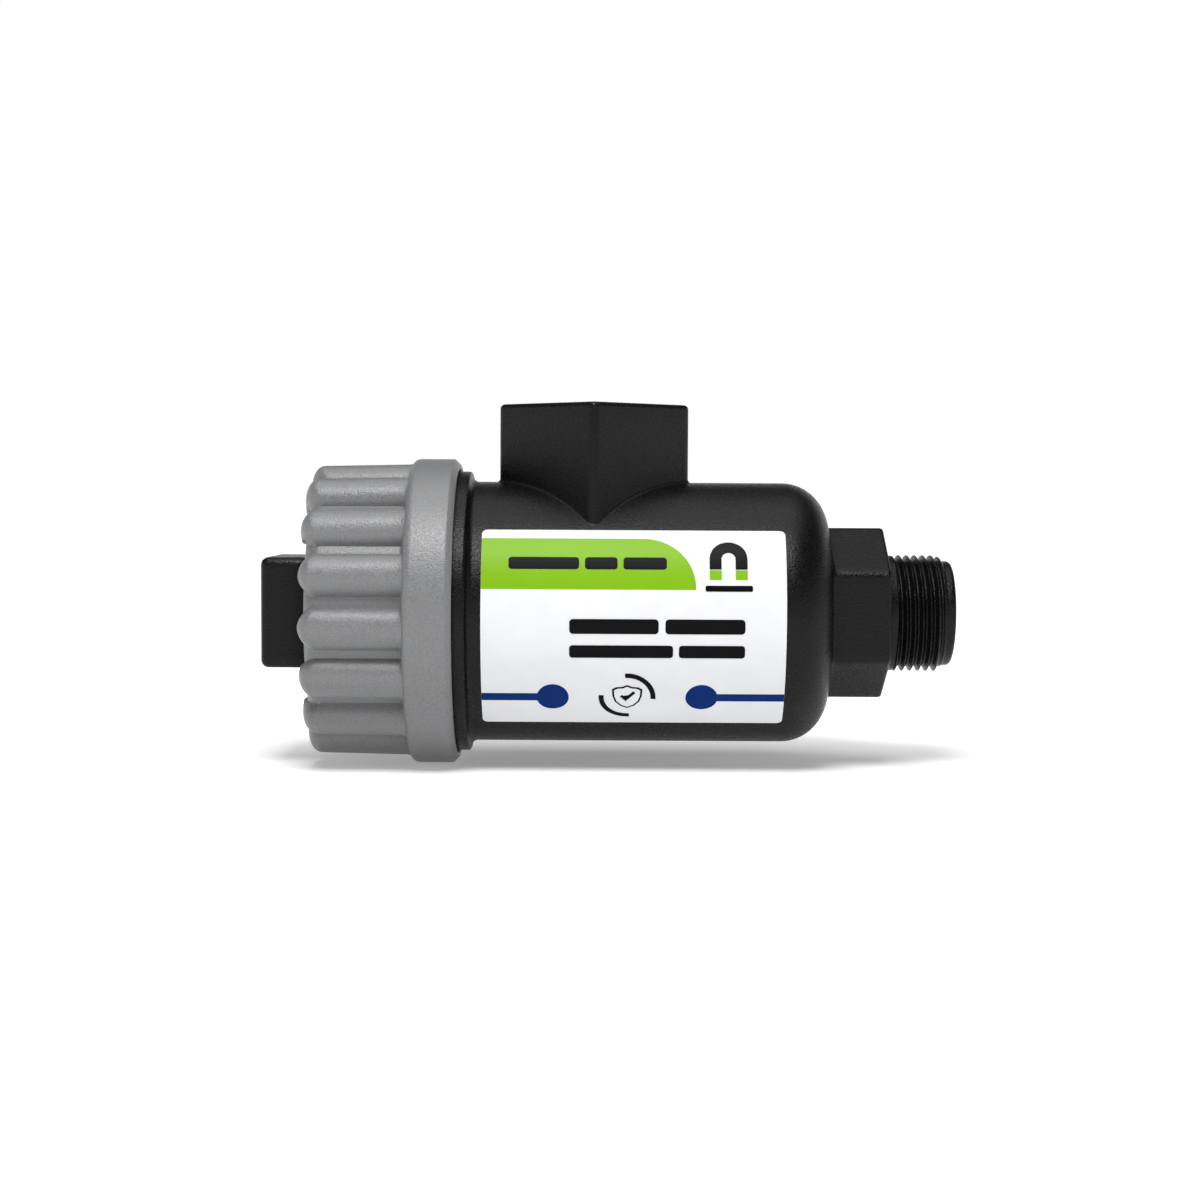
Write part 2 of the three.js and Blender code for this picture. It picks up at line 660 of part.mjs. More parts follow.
function unionNut() {
  const threadX0 = MOUTH_X - 2 * FIT;
  const recessR = HUB_R + SNAP_RING_REACH + SNAP_RING_PLAY;
  const inside = turned([
    [NUT_X0 - RUN_OUT, 0],
    [NUT_X0 - RUN_OUT, recessR],
    [SNAP_FLOOR_X, recessR],
    [SNAP_FLOOR_X, HUB_R + 2 * FIT],
    [NUT_INNER_X, HUB_R + 2 * FIT],
    [NUT_INNER_X, NUT_CAVITY_R],
    [threadX0, NUT_CAVITY_R],
    [threadX0, NUT_MINOR_R],
    [RING_X0 - FIT, NUT_MINOR_R],
    [RING_X0 - FIT, RING_R + COLLAR_RING_GAP],
    [NUT_X1 + RUN_OUT, RING_R + COLLAR_RING_GAP],
    [NUT_X1 + RUN_OUT, 0],
  ]);
  const grooves = unionRidges(threadX0, RING_X0 + 2 * UNION_PITCH, UNION_SIDE_GAP, NUT_MAJOR_R);
  return cut(joined(ribbedBarrel(), collar()), inside, ...grooves);
}

// ---- Cartridge ----------------------------------------------------------------------------------

function cartridgeCover() {
  const oRingX = FLANGE_X + O_RING_X;
  const grooveR = SPIGOT_R - 2 * O_RING_R + RING_GAP;
  const snapX = SNAP_FLOOR_X - SNAP_RING_THICKNESS - 2 * SNAP_RING_GAP;
  const glandR = POCKET_R + 2 * POCKET_O_RING_R + FIT;
  return turned([
    [HUB_X0, POCKET_R + FIT],
    [HUB_X0, HUB_R - HUB_CHAMFER],
    [HUB_X0 + HUB_CHAMFER, HUB_R],
    [snapX, HUB_R],
    [snapX, HUB_R - SNAP_GROOVE_DEPTH],
    [SNAP_FLOOR_X, HUB_R - SNAP_GROOVE_DEPTH],
    [SNAP_FLOOR_X, HUB_R],
    [COVER_X0, HUB_R],
    [COVER_X0, COVER_R - COVER_CHAMFER],
    [COVER_X0 + COVER_CHAMFER, COVER_R],
    [FLANGE_X, COVER_R],
    [FLANGE_X, SPIGOT_R],
    [oRingX - GROOVE_SIDE, SPIGOT_R],
    [oRingX - GROOVE_SIDE, grooveR],
    [oRingX + GROOVE_SIDE, grooveR],
    [oRingX + GROOVE_SIDE, SPIGOT_R],
    [SPIGOT_X1 - COVER_CHAMFER, SPIGOT_R],
    [SPIGOT_X1, SPIGOT_R - COVER_CHAMFER],
    [SPIGOT_X1, HOLLOW_R],
    [COVER_INNER_X, HOLLOW_R],
    [COVER_INNER_X, glandR],
    [COVER_INNER_X - POCKET_GLAND, glandR],
    [COVER_INNER_X - POCKET_GLAND, POCKET_R + FIT],
  ], MEDIUM);
}

function coverORing() {
  const centreR = SEAL_BORE_R - RING_GAP - O_RING_R;
  return oRing(FLANGE_X + O_RING_X, centreR, O_RING_R - RING_GAP / 2, MEDIUM);
}

// The open spring ring that keeps the nut on the cover's hub, with an eye at each end.
function snapRing() {
  const x1 = SNAP_FLOOR_X - SNAP_RING_GAP;
  const x0 = x1 - SNAP_RING_THICKNESS;
  const innerR = HUB_R - SNAP_RING_BITE;
  const outerR = innerR + SNAP_RING_WIDTH;
  const opening = THREE.MathUtils.degToRad(SNAP_RING_OPENING);
  const eyeCentreR = HUB_R + SNAP_RING_REACH - SNAP_RING_EYE_R;
  const eyeAngle = opening / 2 + SNAP_RING_EYE_R / outerR;
  const middleX = (x0 + x1) / 2;
  const cutThickness = SNAP_RING_THICKNESS + 2 * RUN_OUT;
  const atEyes = (radius, thickness) =>
    [-eyeAngle, eyeAngle].map((angle) => {
      const disc = new THREE.CylinderGeometry(radius, radius, thickness, TINY).rotateZ(Math.PI / 2);
      disc.translate(middleX, eyeCentreR * Math.sin(angle), eyeCentreR * Math.cos(angle));
      return solidOf(disc);
    });
  const wedge = new THREE.BoxGeometry(cutThickness, 2 * outerR * Math.sin(opening / 2), outerR);
  const open = cut(ring(x0, x1, outerR, innerR), solidOf(wedge.translate(middleX, 0, outerR)));
  const eyes = atEyes(SNAP_RING_EYE_R, SNAP_RING_THICKNESS);
  return cut(joined(open, ...eyes), ...atEyes(SNAP_RING_HOLE_R, cutThickness));
}

function thrustWasher() {
  const x1 = COVER_X0 - WASHER_GAP;
  return ring(x1 - WASHER_THICKNESS, x1, COVER_R - WASHER_INSET, HUB_R + FIT);
}

function magnetPocket() {
  const roundX = POCKET_X1 - POCKET_ROUND;
  return turned(
    [
      [POCKET_X0, POCKET_BORE_R],
      [POCKET_X0, POCKET_R],
      [POCKET_FLANGE_X, POCKET_R],
      [POCKET_FLANGE_X, POCKET_R + POCKET_FLANGE],
      [POCKET_FLANGE_X + POCKET_FLANGE_THICKNESS, POCKET_R + POCKET_FLANGE],
      [POCKET_FLANGE_X + POCKET_FLANGE_THICKNESS, POCKET_R],
      ...arc(roundX, POCKET_R - POCKET_ROUND, POCKET_ROUND, 90, 0, 3),
      [POCKET_X1, 0],
      [POCKET_X1 - POCKET_WALL, 0],
      ...arc(roundX, POCKET_R - POCKET_ROUND, POCKET_ROUND - POCKET_WALL, 0, 90, 3),
    ],
    SMALL,
  );
}

function pocketORing() {
  const x = COVER_INNER_X - POCKET_O_RING_R - RING_GAP;
  return oRing(x, POCKET_R + FIT / 2 + POCKET_O_RING_R, POCKET_O_RING_R - RING_GAP / 2);
}

// A bar along X with a square section, centred on the axis plane at an angle round X.
function crossBar(x0, x1, width, angle) {
  const bar = new THREE.BoxGeometry(x1 - x0, width, 4 * CAGE_R);
  bar.translate((x0 + x1) / 2, 0, 0);
  return solidOf(bar.rotateX(angle));
}

// Rows of windows through the strainer, each cut by bars that pass through both sides.
function windows(perRow, width) {
  const x0 = SPIGOT_X1 + CAGE_HOOP;
  const pitch = (CAP_X0 - FIT - x0) / CAGE_WINDOW_ROWS;
  const bars = [];
  for (let row = 0; row < CAGE_WINDOW_ROWS; row += 1) {
    const start = x0 + row * pitch;
    for (let pair = 0; pair < perRow / 2; pair += 1) {
      bars.push(crossBar(start, start + pitch - CAGE_HOOP, width, (pair * 2 * Math.PI) / perRow));
    }
  }
  return bars;
}

function strainerCage() {
  const x1 = CAP_X0 - FIT;
  const tube = turned(
    [
      [CAGE_X0, POCKET_R + 2 * FIT],
      [CAGE_X0, CAGE_R],
      [x1, CAGE_R],
      [x1, CAGE_R - CAGE_WALL],
      [CAGE_X0 + CAGE_BASE, CAGE_R - CAGE_WALL],
      [CAGE_X0 + CAGE_BASE, POCKET_R + 2 * FIT],
    ],
    SMALL,
  );
  const windowAngle = ((1 - CAGE_BAR_SHARE) * 2 * Math.PI) / CAGE_BARS;
  return cut(tube, ...windows(CAGE_BARS, 2 * CAGE_R * Math.sin(windowAngle / 2)));
}

// The wire screen, as a thin tube with a few wide slots.
function strainerScreen() {
  const x0 = CAGE_X0 + CAGE_BASE + FIT;
  const x1 = CAP_X0 - FIT;
  const tube = ring(x0, x1, SCREEN_R, SCREEN_R - SCREEN_WALL, SMALL);
  return cut(tube, ...windows(SCREEN_SLOTS, SCREEN_HOLE));
}

function strainerCap() {
  const oRingX = SEAT_X1 - SEAT_DEPTH / 2;
  const grooveR = CAP_SPIGOT_R - 2 * CAP_O_RING_R + 2 * RING_GAP;
  const spigotX1 = SEAT_X1 - CAP_TO_SEAT;
  const bore = CAP_SPIGOT_R - CAP_SPIGOT_WALL;
  return turned(
    [
      [CAP_X0, bore],
      [CAP_X0, CAGE_R],
      [CAP_X0 + CAP_THICKNESS, CAGE_R],
      [CAP_X0 + CAP_THICKNESS, CAP_SPIGOT_R],
      [oRingX - CAP_GROOVE_SIDE, CAP_SPIGOT_R],
      [oRingX - CAP_GROOVE_SIDE, grooveR],
      [oRingX + CAP_GROOVE_SIDE, grooveR],
      [oRingX + CAP_GROOVE_SIDE, CAP_SPIGOT_R],
      [spigotX1 - CAP_CHAMFER, CAP_SPIGOT_R],
      [spigotX1, CAP_SPIGOT_R - CAP_CHAMFER],
      [spigotX1, bore],
    ],
    SMALL,
  );
}

function strainerORing() {
  return oRing(SEAT_X1 - SEAT_DEPTH / 2, SEAT_R - RING_GAP - CAP_O_RING_R, CAP_O_RING_R - RING_GAP / 2);
}

// ---- Magnet core --------------------------------------------------------------------------------

function magnetKnob() {
  const block = prism({
    sides: 4,
    flats: KNOB_SIDE,
    corner: KNOB_CORNER,
    x0: KNOB_X0,
    x1: KNOB_X1,
    turn: Math.PI / 4,
    bevel: KNOB_BEVEL,
  });
  const grooveR = PLUG_R - 2 * CORE_O_RING_R + RING_GAP;
  const plug = turned(
    [
      [KNOB_X0 + KNOB_LENGTH / 2, 0],
      [KNOB_X0 + KNOB_LENGTH / 2, POCKET_R],
      [POCKET_X0 - FIT, POCKET_R],
      [POCKET_X0 - FIT, PLUG_R],
      [CORE_O_RING_X - CORE_GROOVE_SIDE, PLUG_R],
      [CORE_O_RING_X - CORE_GROOVE_SIDE, grooveR],
      [CORE_O_RING_X + CORE_GROOVE_SIDE, grooveR],
      [CORE_O_RING_X + CORE_GROOVE_SIDE, PLUG_R],
      [PLUG_X1, PLUG_R],
      [PLUG_X1, 0],
    ],
    SMALL,
  );
  const socket = ring(PLUG_X1 - ROD_IN_KNOB - FIT, PLUG_X1 + RUN_OUT, ROD_HOLE_R, 0, TINY);
  return cut(joined(solidOf(block), plug), socket);
}

function coreORing() {
  return oRing(CORE_O_RING_X, POCKET_BORE_R - RING_GAP - CORE_O_RING_R, CORE_O_RING_R - RING_GAP / 2);
}

// Where each piece of the magnet stack starts: a pole piece, then a magnet and a pole piece in turn.
function stackPlaces() {
  const places = [];
  let x = PLUG_X1 + FIT;
  for (let i = 0; i <= 2 * MAGNETS; i += 1) {
    const isMagnet = i % 2 === 1;
    const length = isMagnet ? MAGNET_LENGTH : POLE_THICKNESS;
    places.push({ isMagnet, number: Math.ceil((i + 1) / 2), x0: x, x1: x + length });
    x += length + FIT;
  }
  return places;
}

function coreRodNut() {
  const x1 = ROD_NUT_X0 + ROD_NUT_LENGTH;
  const blank = prism({ sides: 6, flats: ROD_NUT_FLATS, corner: FIT, x0: ROD_NUT_X0, x1 });
  return cut(solidOf(blank), ring(ROD_NUT_X0 - RUN_OUT, x1 + RUN_OUT, ROD_HOLE_R, 0, TINY));
}

function coreRod() {
  const x0 = PLUG_X1 - ROD_IN_KNOB;
  const chamferX = ROD_X1 - ROD_CHAMFER;
  const endR = ROD_R - ROD_CHAMFER;
  return turned([[x0, 0], [x0, ROD_R], [chamferX, ROD_R], [ROD_X1, endR], [ROD_X1, 0]], TINY);
}

// ---- Assembly -----------------------------------------------------------------------------------

const filter = new THREE.Group();
filter.position.z = -INLET_HEIGHT;

function add(name, made, material) {
  const mesh = new THREE.Mesh(geometryOf(made), material);
  mesh.name = name;
  filter.add(mesh);
}

function addHousing() {
  add("filter_body", filterBody(), BLACK_NYLON);
  add("inlet_gasket", inletGasket(), RUBBER);
  add("label_film", label(), WHITE_FILM);
}

function addCartridge() {
  add("cartridge_cover", cartridgeCover(), BLACK_NYLON);
  add("cover_o_ring", coverORing(), RUBBER);
  add("nut_snap_ring", snapRing(), STAINLESS);
  add("thrust_washer", thrustWasher(), PALE_ACETAL);
  add("magnet_pocket", magnetPocket(), STAINLESS);
  add("pocket_o_ring", pocketORing(), RUBBER);
  add("strainer_cage", strainerCage(), BLACK_NYLON);
  add("strainer_screen", strainerScreen(), STAINLESS);
  add("strainer_end_cap", strainerCap(), BLACK_NYLON);
  add("strainer_o_ring", strainerORing(), RUBBER);
}

function addMagnetCore() {
  add("magnet_knob", magnetKnob(), BLACK_NYLON);
  add("knob_o_ring", coreORing(), RUBBER);
  for (const { isMagnet, number, x0, x1 } of stackPlaces()) {
    const outerR = isMagnet ? MAGNET_R : MAGNET_R + POLE_STEP;
    const name = isMagnet ? `magnet_${number}` : `pole_piece_${number}`;
    add(name, ring(x0, x1, outerR, ROD_HOLE_R, TINY), isMagnet ? NICKEL : SOFT_STEEL);
  }
  add("core_rod_nut", coreRodNut(), STAINLESS);
  add("core_rod", coreRod(), STAINLESS);
}

addHousing();
add("union_nut", unionNut(), GREY_NYLON);
addCartridge();
addMagnetCore();

const root = new THREE.Group();
root.add(filter);
export default root;
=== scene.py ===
"""The looks of the magnetic system filter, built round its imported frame.

Shapes are given in millimetres, with X along the filter and radii from its axis. The mesh helpers
turn them into metres, so every object ends up where the frame has it. The stage, the lights and the
camera are in metres.
"""

import math

import bmesh
import bpy
import numpy as np
from mathutils import Matrix, Vector

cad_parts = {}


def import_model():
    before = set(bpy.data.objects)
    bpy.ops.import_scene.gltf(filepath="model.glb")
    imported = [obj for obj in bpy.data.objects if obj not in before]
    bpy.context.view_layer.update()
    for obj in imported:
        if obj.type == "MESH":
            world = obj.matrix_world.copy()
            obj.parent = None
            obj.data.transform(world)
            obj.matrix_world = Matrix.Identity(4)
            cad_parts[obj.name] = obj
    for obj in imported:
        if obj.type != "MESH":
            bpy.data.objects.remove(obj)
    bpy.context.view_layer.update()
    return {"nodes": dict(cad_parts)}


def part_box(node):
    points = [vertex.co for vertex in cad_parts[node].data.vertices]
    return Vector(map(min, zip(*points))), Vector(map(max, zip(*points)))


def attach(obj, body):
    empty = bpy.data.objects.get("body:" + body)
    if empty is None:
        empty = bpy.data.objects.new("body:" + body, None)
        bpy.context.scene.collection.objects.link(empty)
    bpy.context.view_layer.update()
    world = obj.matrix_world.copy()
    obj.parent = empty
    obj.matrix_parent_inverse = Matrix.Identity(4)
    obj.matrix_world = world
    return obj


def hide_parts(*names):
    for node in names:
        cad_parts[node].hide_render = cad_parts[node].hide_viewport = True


MM = 0.001
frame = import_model()


def edges(node):
    """Lowest and highest corner of a CAD node, in millimetres."""
    low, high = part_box(node)
    return low / MM, high / MM


# ---- Places read from the frame ----------------------------------------------------------------

BODY_LOW, BODY_HIGH = edges("filter_body")
NUT_LOW, NUT_HIGH = edges("union_nut")
COVER_LOW, COVER_HIGH = edges("cartridge_cover")
POCKET_LOW, POCKET_HIGH = edges("magnet_pocket")
CAGE_LOW, CAGE_HIGH = edges("strainer_cage")
CAP_LOW, CAP_HIGH = edges("strainer_end_cap")
KNOB_LOW, KNOB_HIGH = edges("magnet_knob")
LABEL_LOW, LABEL_HIGH = edges("label_film")
GASKET_LOW, GASKET_HIGH = edges("inlet_gasket")
ROD_LOW, ROD_HIGH = edges("core_rod")

AXIS_Z = (NUT_LOW.z + NUT_HIGH.z) / 2
MOUTH_X = BODY_LOW.x
OUTLET_X1 = BODY_HIGH.x
INLET_Z = BODY_HIGH.z
NUT_X0 = NUT_LOW.x
NUT_X1 = NUT_HIGH.x

# ---- Sizes of the moulded shapes ---------------------------------------------------------------

BARREL_R = 29.4
RING_R = 31.7
RING_X0 = MOUTH_X + 8
RING_X1 = RING_X0 + 3.6
RING_SOFT = 0.4  # rounding of its edge beside the nut
RING_ROUND = 0.6  # and of its edge beside the barrel
RING_FILLET = 1.5
NECK_R = 29.2
NECK_CHAMFER = 0.5
UNION_CREST_R = 30.9
UNION_PITCH = 3
UNION_STARTS = 3
UNION_STEP = 0.22  # between the rings that draw the thread
UNION_X0 = MOUTH_X + 0.6
UNION_X1 = RING_X0 - 0.3
UNION_FADE = 0.9  # length over which its ends fade out
CHAMBER_R = 25
SEAL_BORE_R = 25.2
SEAL_BORE_LENGTH = 10
MOUTH_CHAMFER = 0.6
DOME_R = 10.2
DOME_X1 = RING_X1 + 80.4
END_WALL = 4.2
INNER_END_X = DOME_X1 - END_WALL
HEX_FLATS = 34
HEX_CORNER = 2
HEX_BEVEL = 0.8
HEX_JOINT_R = 20.05  # where the dome meets the hexagon's fillet
HEX_X1 = OUTLET_X1 - 15.2
SEAT_R = 13.2
SEAT_X1 = INNER_END_X + 6.3
SEAT_CONE = 2
OUTLET_BORE_R = 9.5
PIPE_MAJOR_R = 13.22
PIPE_MINOR_R = 12.06
PIPE_PITCH = 1.814
THREAD_X0 = HEX_X1 + 2.2
THREAD_X1 = OUTLET_X1 - 1.9
THREAD_PHASE_X = HEX_X1 + 3.05
THREAD_LEAD_IN = 1.1
COLLAR_UNDER_THREAD = 0.15  # the plain collar stays this far under the thread's crest
NOSE_R = 11.85
NOSE_ROUND = 0.9

INLET_SIDE = 31
INLET_CORNER = 1.4
INLET_ROUND = 1.1
INLET_FILLET = 0.8
INLET_DEPTH = 15
INLET_PASSAGE_R = 10.5

RIBS = 16
RIB_CREST_R = 32.9
RIB_DRAFT = 0.4
RIB_HALF_WIDTH = 4.95
RIB_SUNK = 0.3  # the ribs' section starts this share of their height below the valley
RIB_FOOT = 0.08  # fillet along their feet, as a share of their height
RIB_END = 3.3  # rounding of their free ends, seen from outside
RIB_NOSE_X = 3.2  # and seen from the side
RIB_PROUD = 1.2  # they stand this far past the nut's end face
RIB_PHASE = 6.8  # degrees from the front up to the nearest valley's middle
VALLEY_R = 29.6
COLLAR_R = NUT_HIGH.z - AXIS_Z
COLLAR_ROUND = 2
COLLAR_CHAMFER = 1.3
SHOULDER_X = MOUTH_X - 1.9  # where the ribs run into the collar

HUB_R = 18.6
KNOB_SIDE = 24.7
KNOB_CORNER = 1.7
KNOB_BEVEL = 1.7
KNOB_BACK_BEVEL = 0.5
COVER_RIM_R = 26.9
COVER_LENGTH = 17.5
COVER_END_WALL = 3.7
SPIGOT_R = 24.9
HOLLOW_R = 20.5
SNAP_FLOOR_X = NUT_X0 + 2.5
NUT_RECESS_R = HUB_R + 3.6
SNAP_GROOVE_WIDTH = 1.2
SNAP_GROOVE_DEPTH = 1
POCKET_R = 11
POCKET_WALL = 0.8
POCKET_ROUND = 3
CAGE_R = 20.2
CAGE_WALL = 1.5
CAGE_BASE = 2.2
CAGE_HOOP = 3
CAGE_WINDOW_SHARE = 0.72  # of the circle that the windows take
SCREEN_R = 18.4
WIRE_SIDE = 0.2
WIRE_PITCH = 1.25

# ---- Meshes ------------------------------------------------------------------------------------


def turn_angles(count):
    return np.arange(count) * 2 * math.pi / count


def around_x(x, radius, angles):
    """A ring of points round the filter's axis. x and radius are numbers or one value per angle."""
    x = np.broadcast_to(np.asarray(x, float), angles.shape)
    return np.stack([x, radius * np.cos(angles), radius * np.sin(angles) + AXIS_Z], axis=1)


def around_z(z, radius, angles):
    """A ring of points round the inlet's axis."""
    z = np.broadcast_to(np.asarray(z, float), angles.shape)
    return np.stack([radius * np.cos(angles), radius * np.sin(angles), z], axis=1)


def add_object(name, data):
    made = bpy.data.objects.new(name, data)
    bpy.context.scene.collection.objects.link(made)
    return made


def new_object(name, points, faces, material, smooth_angle=35):
    mesh = bpy.data.meshes.new(name)
    mesh.from_pydata((np.asarray(points) * MM).tolist(), [], faces)
    mesh.validate()
    shell = bmesh.new()
    shell.from_mesh(mesh)
    bmesh.ops.recalc_face_normals(shell, faces=shell.faces[:])
    shell.to_mesh(mesh)
    shell.free()
    mesh.materials.append(material)
    mesh.shade_smooth()
    mesh.set_sharp_from_angle(angle=math.radians(smooth_angle))
    return add_object(name, mesh)


def loft_faces(rings, count, closed):
    """Quads between neighbouring rings. An open loft is capped at both ends."""
    faces = []
    last = rings if closed else rings - 1
    for i in range(last):
        a, b = i * count, (i + 1) % rings * count
        for j in range(count):
            k = (j + 1) % count
            faces.append((a + j, a + k, b + k, b + j))
    if not closed:
        faces.append(tuple(range(count))[::-1])
        faces.append(tuple((rings - 1) * count + j for j in range(count)))
    return faces


def loft(name, rings, material, closed=True, smooth_angle=35):
    """One closed surface through rings of points: a torus, or with closed=False a capped bar."""
    faces = loft_faces(len(rings), len(rings[0]), closed)
    return new_object(name, np.concatenate(rings), faces, material, smooth_angle)


def turned_rings(outline, angles):
    """One ring round the filter's axis for each (x, radius) point."""
    return [around_x(x, r, angles) for x, r in outline]


def turned(name, outline, material, count=128, smooth_angle=35):
    """A closed outline of (x, radius) points, turned round the filter's axis.

    The outline closes on itself and stays off the axis.
    """
    return loft(name, turned_rings(outline, turn_angles(count)), material, True, smooth_angle)


def arc(x, r, radius, start, end, steps=6):
    """Points of an arc in the (x, radius) plane, from one angle to another in degrees."""
    spread = np.radians(np.linspace(start, end, steps + 1))
    return [(x + radius * math.cos(a), r + radius * math.sin(a)) for a in spread]


def softened(outline, radius=0.3, steps=3):
    """The closed outline with each corner rounded, as a moulded or turned piece has it."""
    made = []
    count = len(outline)
    for i, point in enumerate(outline):
        here = Vector(point)
        before = Vector(outline[i - 1]) - here
        after = Vector(outline[(i + 1) % count]) - here
        if before.length < 1e-6 or after.length < 1e-6:
            continue
        reach = min(radius, before.length * 0.45, after.length * 0.45)
        if before.angle(after) > math.radians(165):
            made.append(point)
            continue
        a = here + before.normalized() * reach
        b = here + after.normalized() * reach
        for k in range(steps + 1):
            t = k / steps
            made.append(tuple(a * (1 - t) ** 2 + here * 2 * t * (1 - t) + b * t**2))
    return made


def polygon_radius(angles, sides, flats, corner, turn=0.0):
    """Distance from the centre to a regular polygon with round corners. A corner lies at turn."""
    half = math.pi / sides
    from_corner = (angles - turn + half) % (2 * half) - half
    apothem = flats / 2
    from_flat = half - np.abs(from_corner)
    flat = apothem / np.cos(from_flat)
    centre = (apothem - corner) / math.cos(half)
    reach = corner**2 - (centre * np.sin(from_corner)) ** 2
    rounded = centre * np.cos(from_corner) + np.sqrt(np.maximum(reach, 0))
    edge = math.atan2((apothem - corner) * math.tan(half), apothem)
    return np.where(from_flat > edge, rounded, flat)


def thread_radius(x, angles, root, crest, pitch, starts=1, phase_x=0.0, sharpness=1.0):
    """Radius of a right-hand thread with round crests and roots, at x."""
    turns = (x - phase_x - pitch * starts * angles / (2 * math.pi)) / pitch
    from_root = np.abs((turns % 1) - 0.5) * 2
    height = (0.5 - 0.5 * np.cos(math.pi * from_root)) ** sharpness
    return root + (crest - root) * height


def boolean(target, tool, operation):
    """Joins or cuts two closed meshes for good, and removes the tool."""
    modifier = target.modifiers.new("boolean", "BOOLEAN")
    modifier.operation = operation
    modifier.solver = "MANIFOLD"
    modifier.object = tool
    bpy.context.view_layer.update()
    evaluated = target.evaluated_get(bpy.context.evaluated_depsgraph_get())
    mesh = bpy.data.meshes.new_from_object(evaluated)
    target.modifiers.clear()
    target.data = mesh
    bpy.data.objects.remove(tool)
    return target


def smoothed(piece, angle=35):
    piece.data.shade_smooth()
    piece.data.set_sharp_from_angle(angle=math.radians(angle))
    return piece


def placed(piece, body, slot, *nodes):
    """Lets a piece ride on a body and stand for CAD nodes, which it hides.
    The slot is not used.
    """
    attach(piece, body)
    if nodes:
        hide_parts(*nodes)
    return piece


# ---- Materials ---------------------------------------------------------------------------------


class Shader:
    """A new material with its principled shader, object coordinates and short ways to add nodes."""

    def __init__(self, name, color, roughness, metallic=0.0, **sockets):
        self.material = bpy.data.materials.new(name)
        self.material.use_nodes = True
        self.nodes = self.material.node_tree.nodes
        self.links = self.material.node_tree.links
        self.base = self.nodes["Principled BSDF"]
        self.base.inputs["Base Color"].default_value = (*color, 1)
        self.base.inputs["Roughness"].default_value = roughness
        self.base.inputs["Metallic"].default_value = metallic
        for socket, value in sockets.items():
            self.base.inputs[socket.replace("_", " ")].default_value = value
        self.coordinates = self.nodes.new("ShaderNodeTexCoord").outputs["Object"]
        self.height = None

    def scaled(self, scale):
        """The object coordinates, stretched by a scale for each axis."""
        mapping = self.nodes.new("ShaderNodeMapping")
        mapping.inputs["Scale"].default_value = scale
        self.links.new(self.coordinates, mapping.inputs["Vector"])
        return mapping.outputs["Vector"]

    def noise(self, size_mm, detail=2.0, stretch=(1, 1, 1)):
        texture = self.nodes.new("ShaderNodeTexNoise")
        texture.inputs["Scale"].default_value = 1 / (size_mm * MM)
        texture.inputs["Detail"].default_value = detail
        self.links.new(self.scaled(stretch), texture.inputs["Vector"])
        return texture.outputs["Fac"]

    def ramp(self, source, low, high, span=(0.35, 0.65)):
        ramp = self.nodes.new("ShaderNodeMapRange")
        ramp.inputs["From Min"].default_value = span[0]
        ramp.inputs["From Max"].default_value = span[1]
        ramp.inputs["To Min"].default_value = low
        ramp.inputs["To Max"].default_value = high
        self.links.new(source, ramp.inputs["Value"])
        return ramp.outputs["Result"]

    def mottle(self, source, dark, light, span=(0.35, 0.65)):
        """Colours the surface between two tones."""
        mix = self.nodes.new("ShaderNodeMix")
        mix.data_type = "RGBA"
        mix.inputs["A"].default_value = (*dark, 1)
        mix.inputs["B"].default_value = (*light, 1)
        self.links.new(self.ramp(source, 0, 1, span), mix.inputs["Factor"])
        self.links.new(mix.outputs["Result"], self.base.inputs["Base Color"])
        return self

    def rough(self, source, low, high):
        self.links.new(self.ramp(source, low, high), self.base.inputs["Roughness"])
        return self

    def bump(self, source, depth_mm, strength=1.0):
        """Adds relief. Each call lies over the one before."""
        bump = self.nodes.new("ShaderNodeBump")
        bump.inputs["Strength"].default_value = strength
        bump.inputs["Distance"].default_value = depth_mm * MM
        self.links.new(source, bump.inputs["Height"])
        if self.height is not None:
            self.links.new(self.height, bump.inputs["Normal"])
        self.height = bump.outputs["Normal"]
        self.links.new(self.height, self.base.inputs["Normal"])
        return self


def tones(color, spread):
    return [c * (1 - spread) for c in color], [c * (1 + spread) for c in color]


def moulded(name, color, roughness, spread, specular, grain_mm=0.4, depth_mm=0.11):
    """Glass-filled nylon from a spark-eroded mould: fine grain, slight cloudiness."""
    shader = Shader(name, color, roughness, Specular_IOR_Level=specular)
    grain = shader.noise(grain_mm, 3)
    cloud = shader.noise(9, 2)
    shader.mottle(grain, *tones(color, spread), span=(0.3, 0.7))
    shader.rough(grain, roughness - 0.1, roughness + 0.12)
    shader.bump(cloud, 0.06).bump(grain, depth_mm)
    return shader.material


def film(name, color, roughness=0.36, specular=0.1):
    """Printed vinyl: smooth, with faint waviness from the surface below."""
    shader = Shader(name, color, roughness, Specular_IOR_Level=specular)
    shader.mottle(shader.noise(6, 3), *tones(color, 0.015))
    shader.bump(shader.noise(1.4, 2), 0.012)
    return shader.material


def rubber(name):
    shader = Shader(name, (0.012, 0.012, 0.012), 0.6, Specular_IOR_Level=0.3)
    shader.mottle(shader.noise(1.2, 3), (0.008, 0.008, 0.008), (0.018, 0.018, 0.018))
    shader.bump(shader.noise(0.25, 2), 0.02)
    return shader.material


def steel(name, color, roughness, stretch, scratch_mm=0.3, depth_mm=0.006):
    """Metal with fine marks of drawing, turning or brushing along the short side of stretch."""
    shader = Shader(name, color, roughness, metallic=1.0)
    marks = shader.noise(scratch_mm, 4, stretch)
    shader.mottle(shader.noise(7, 3), *tones(color, 0.08))
    shader.rough(marks, roughness - 0.06, roughness + 0.1)
    shader.bump(marks, depth_mm)
    return shader.material


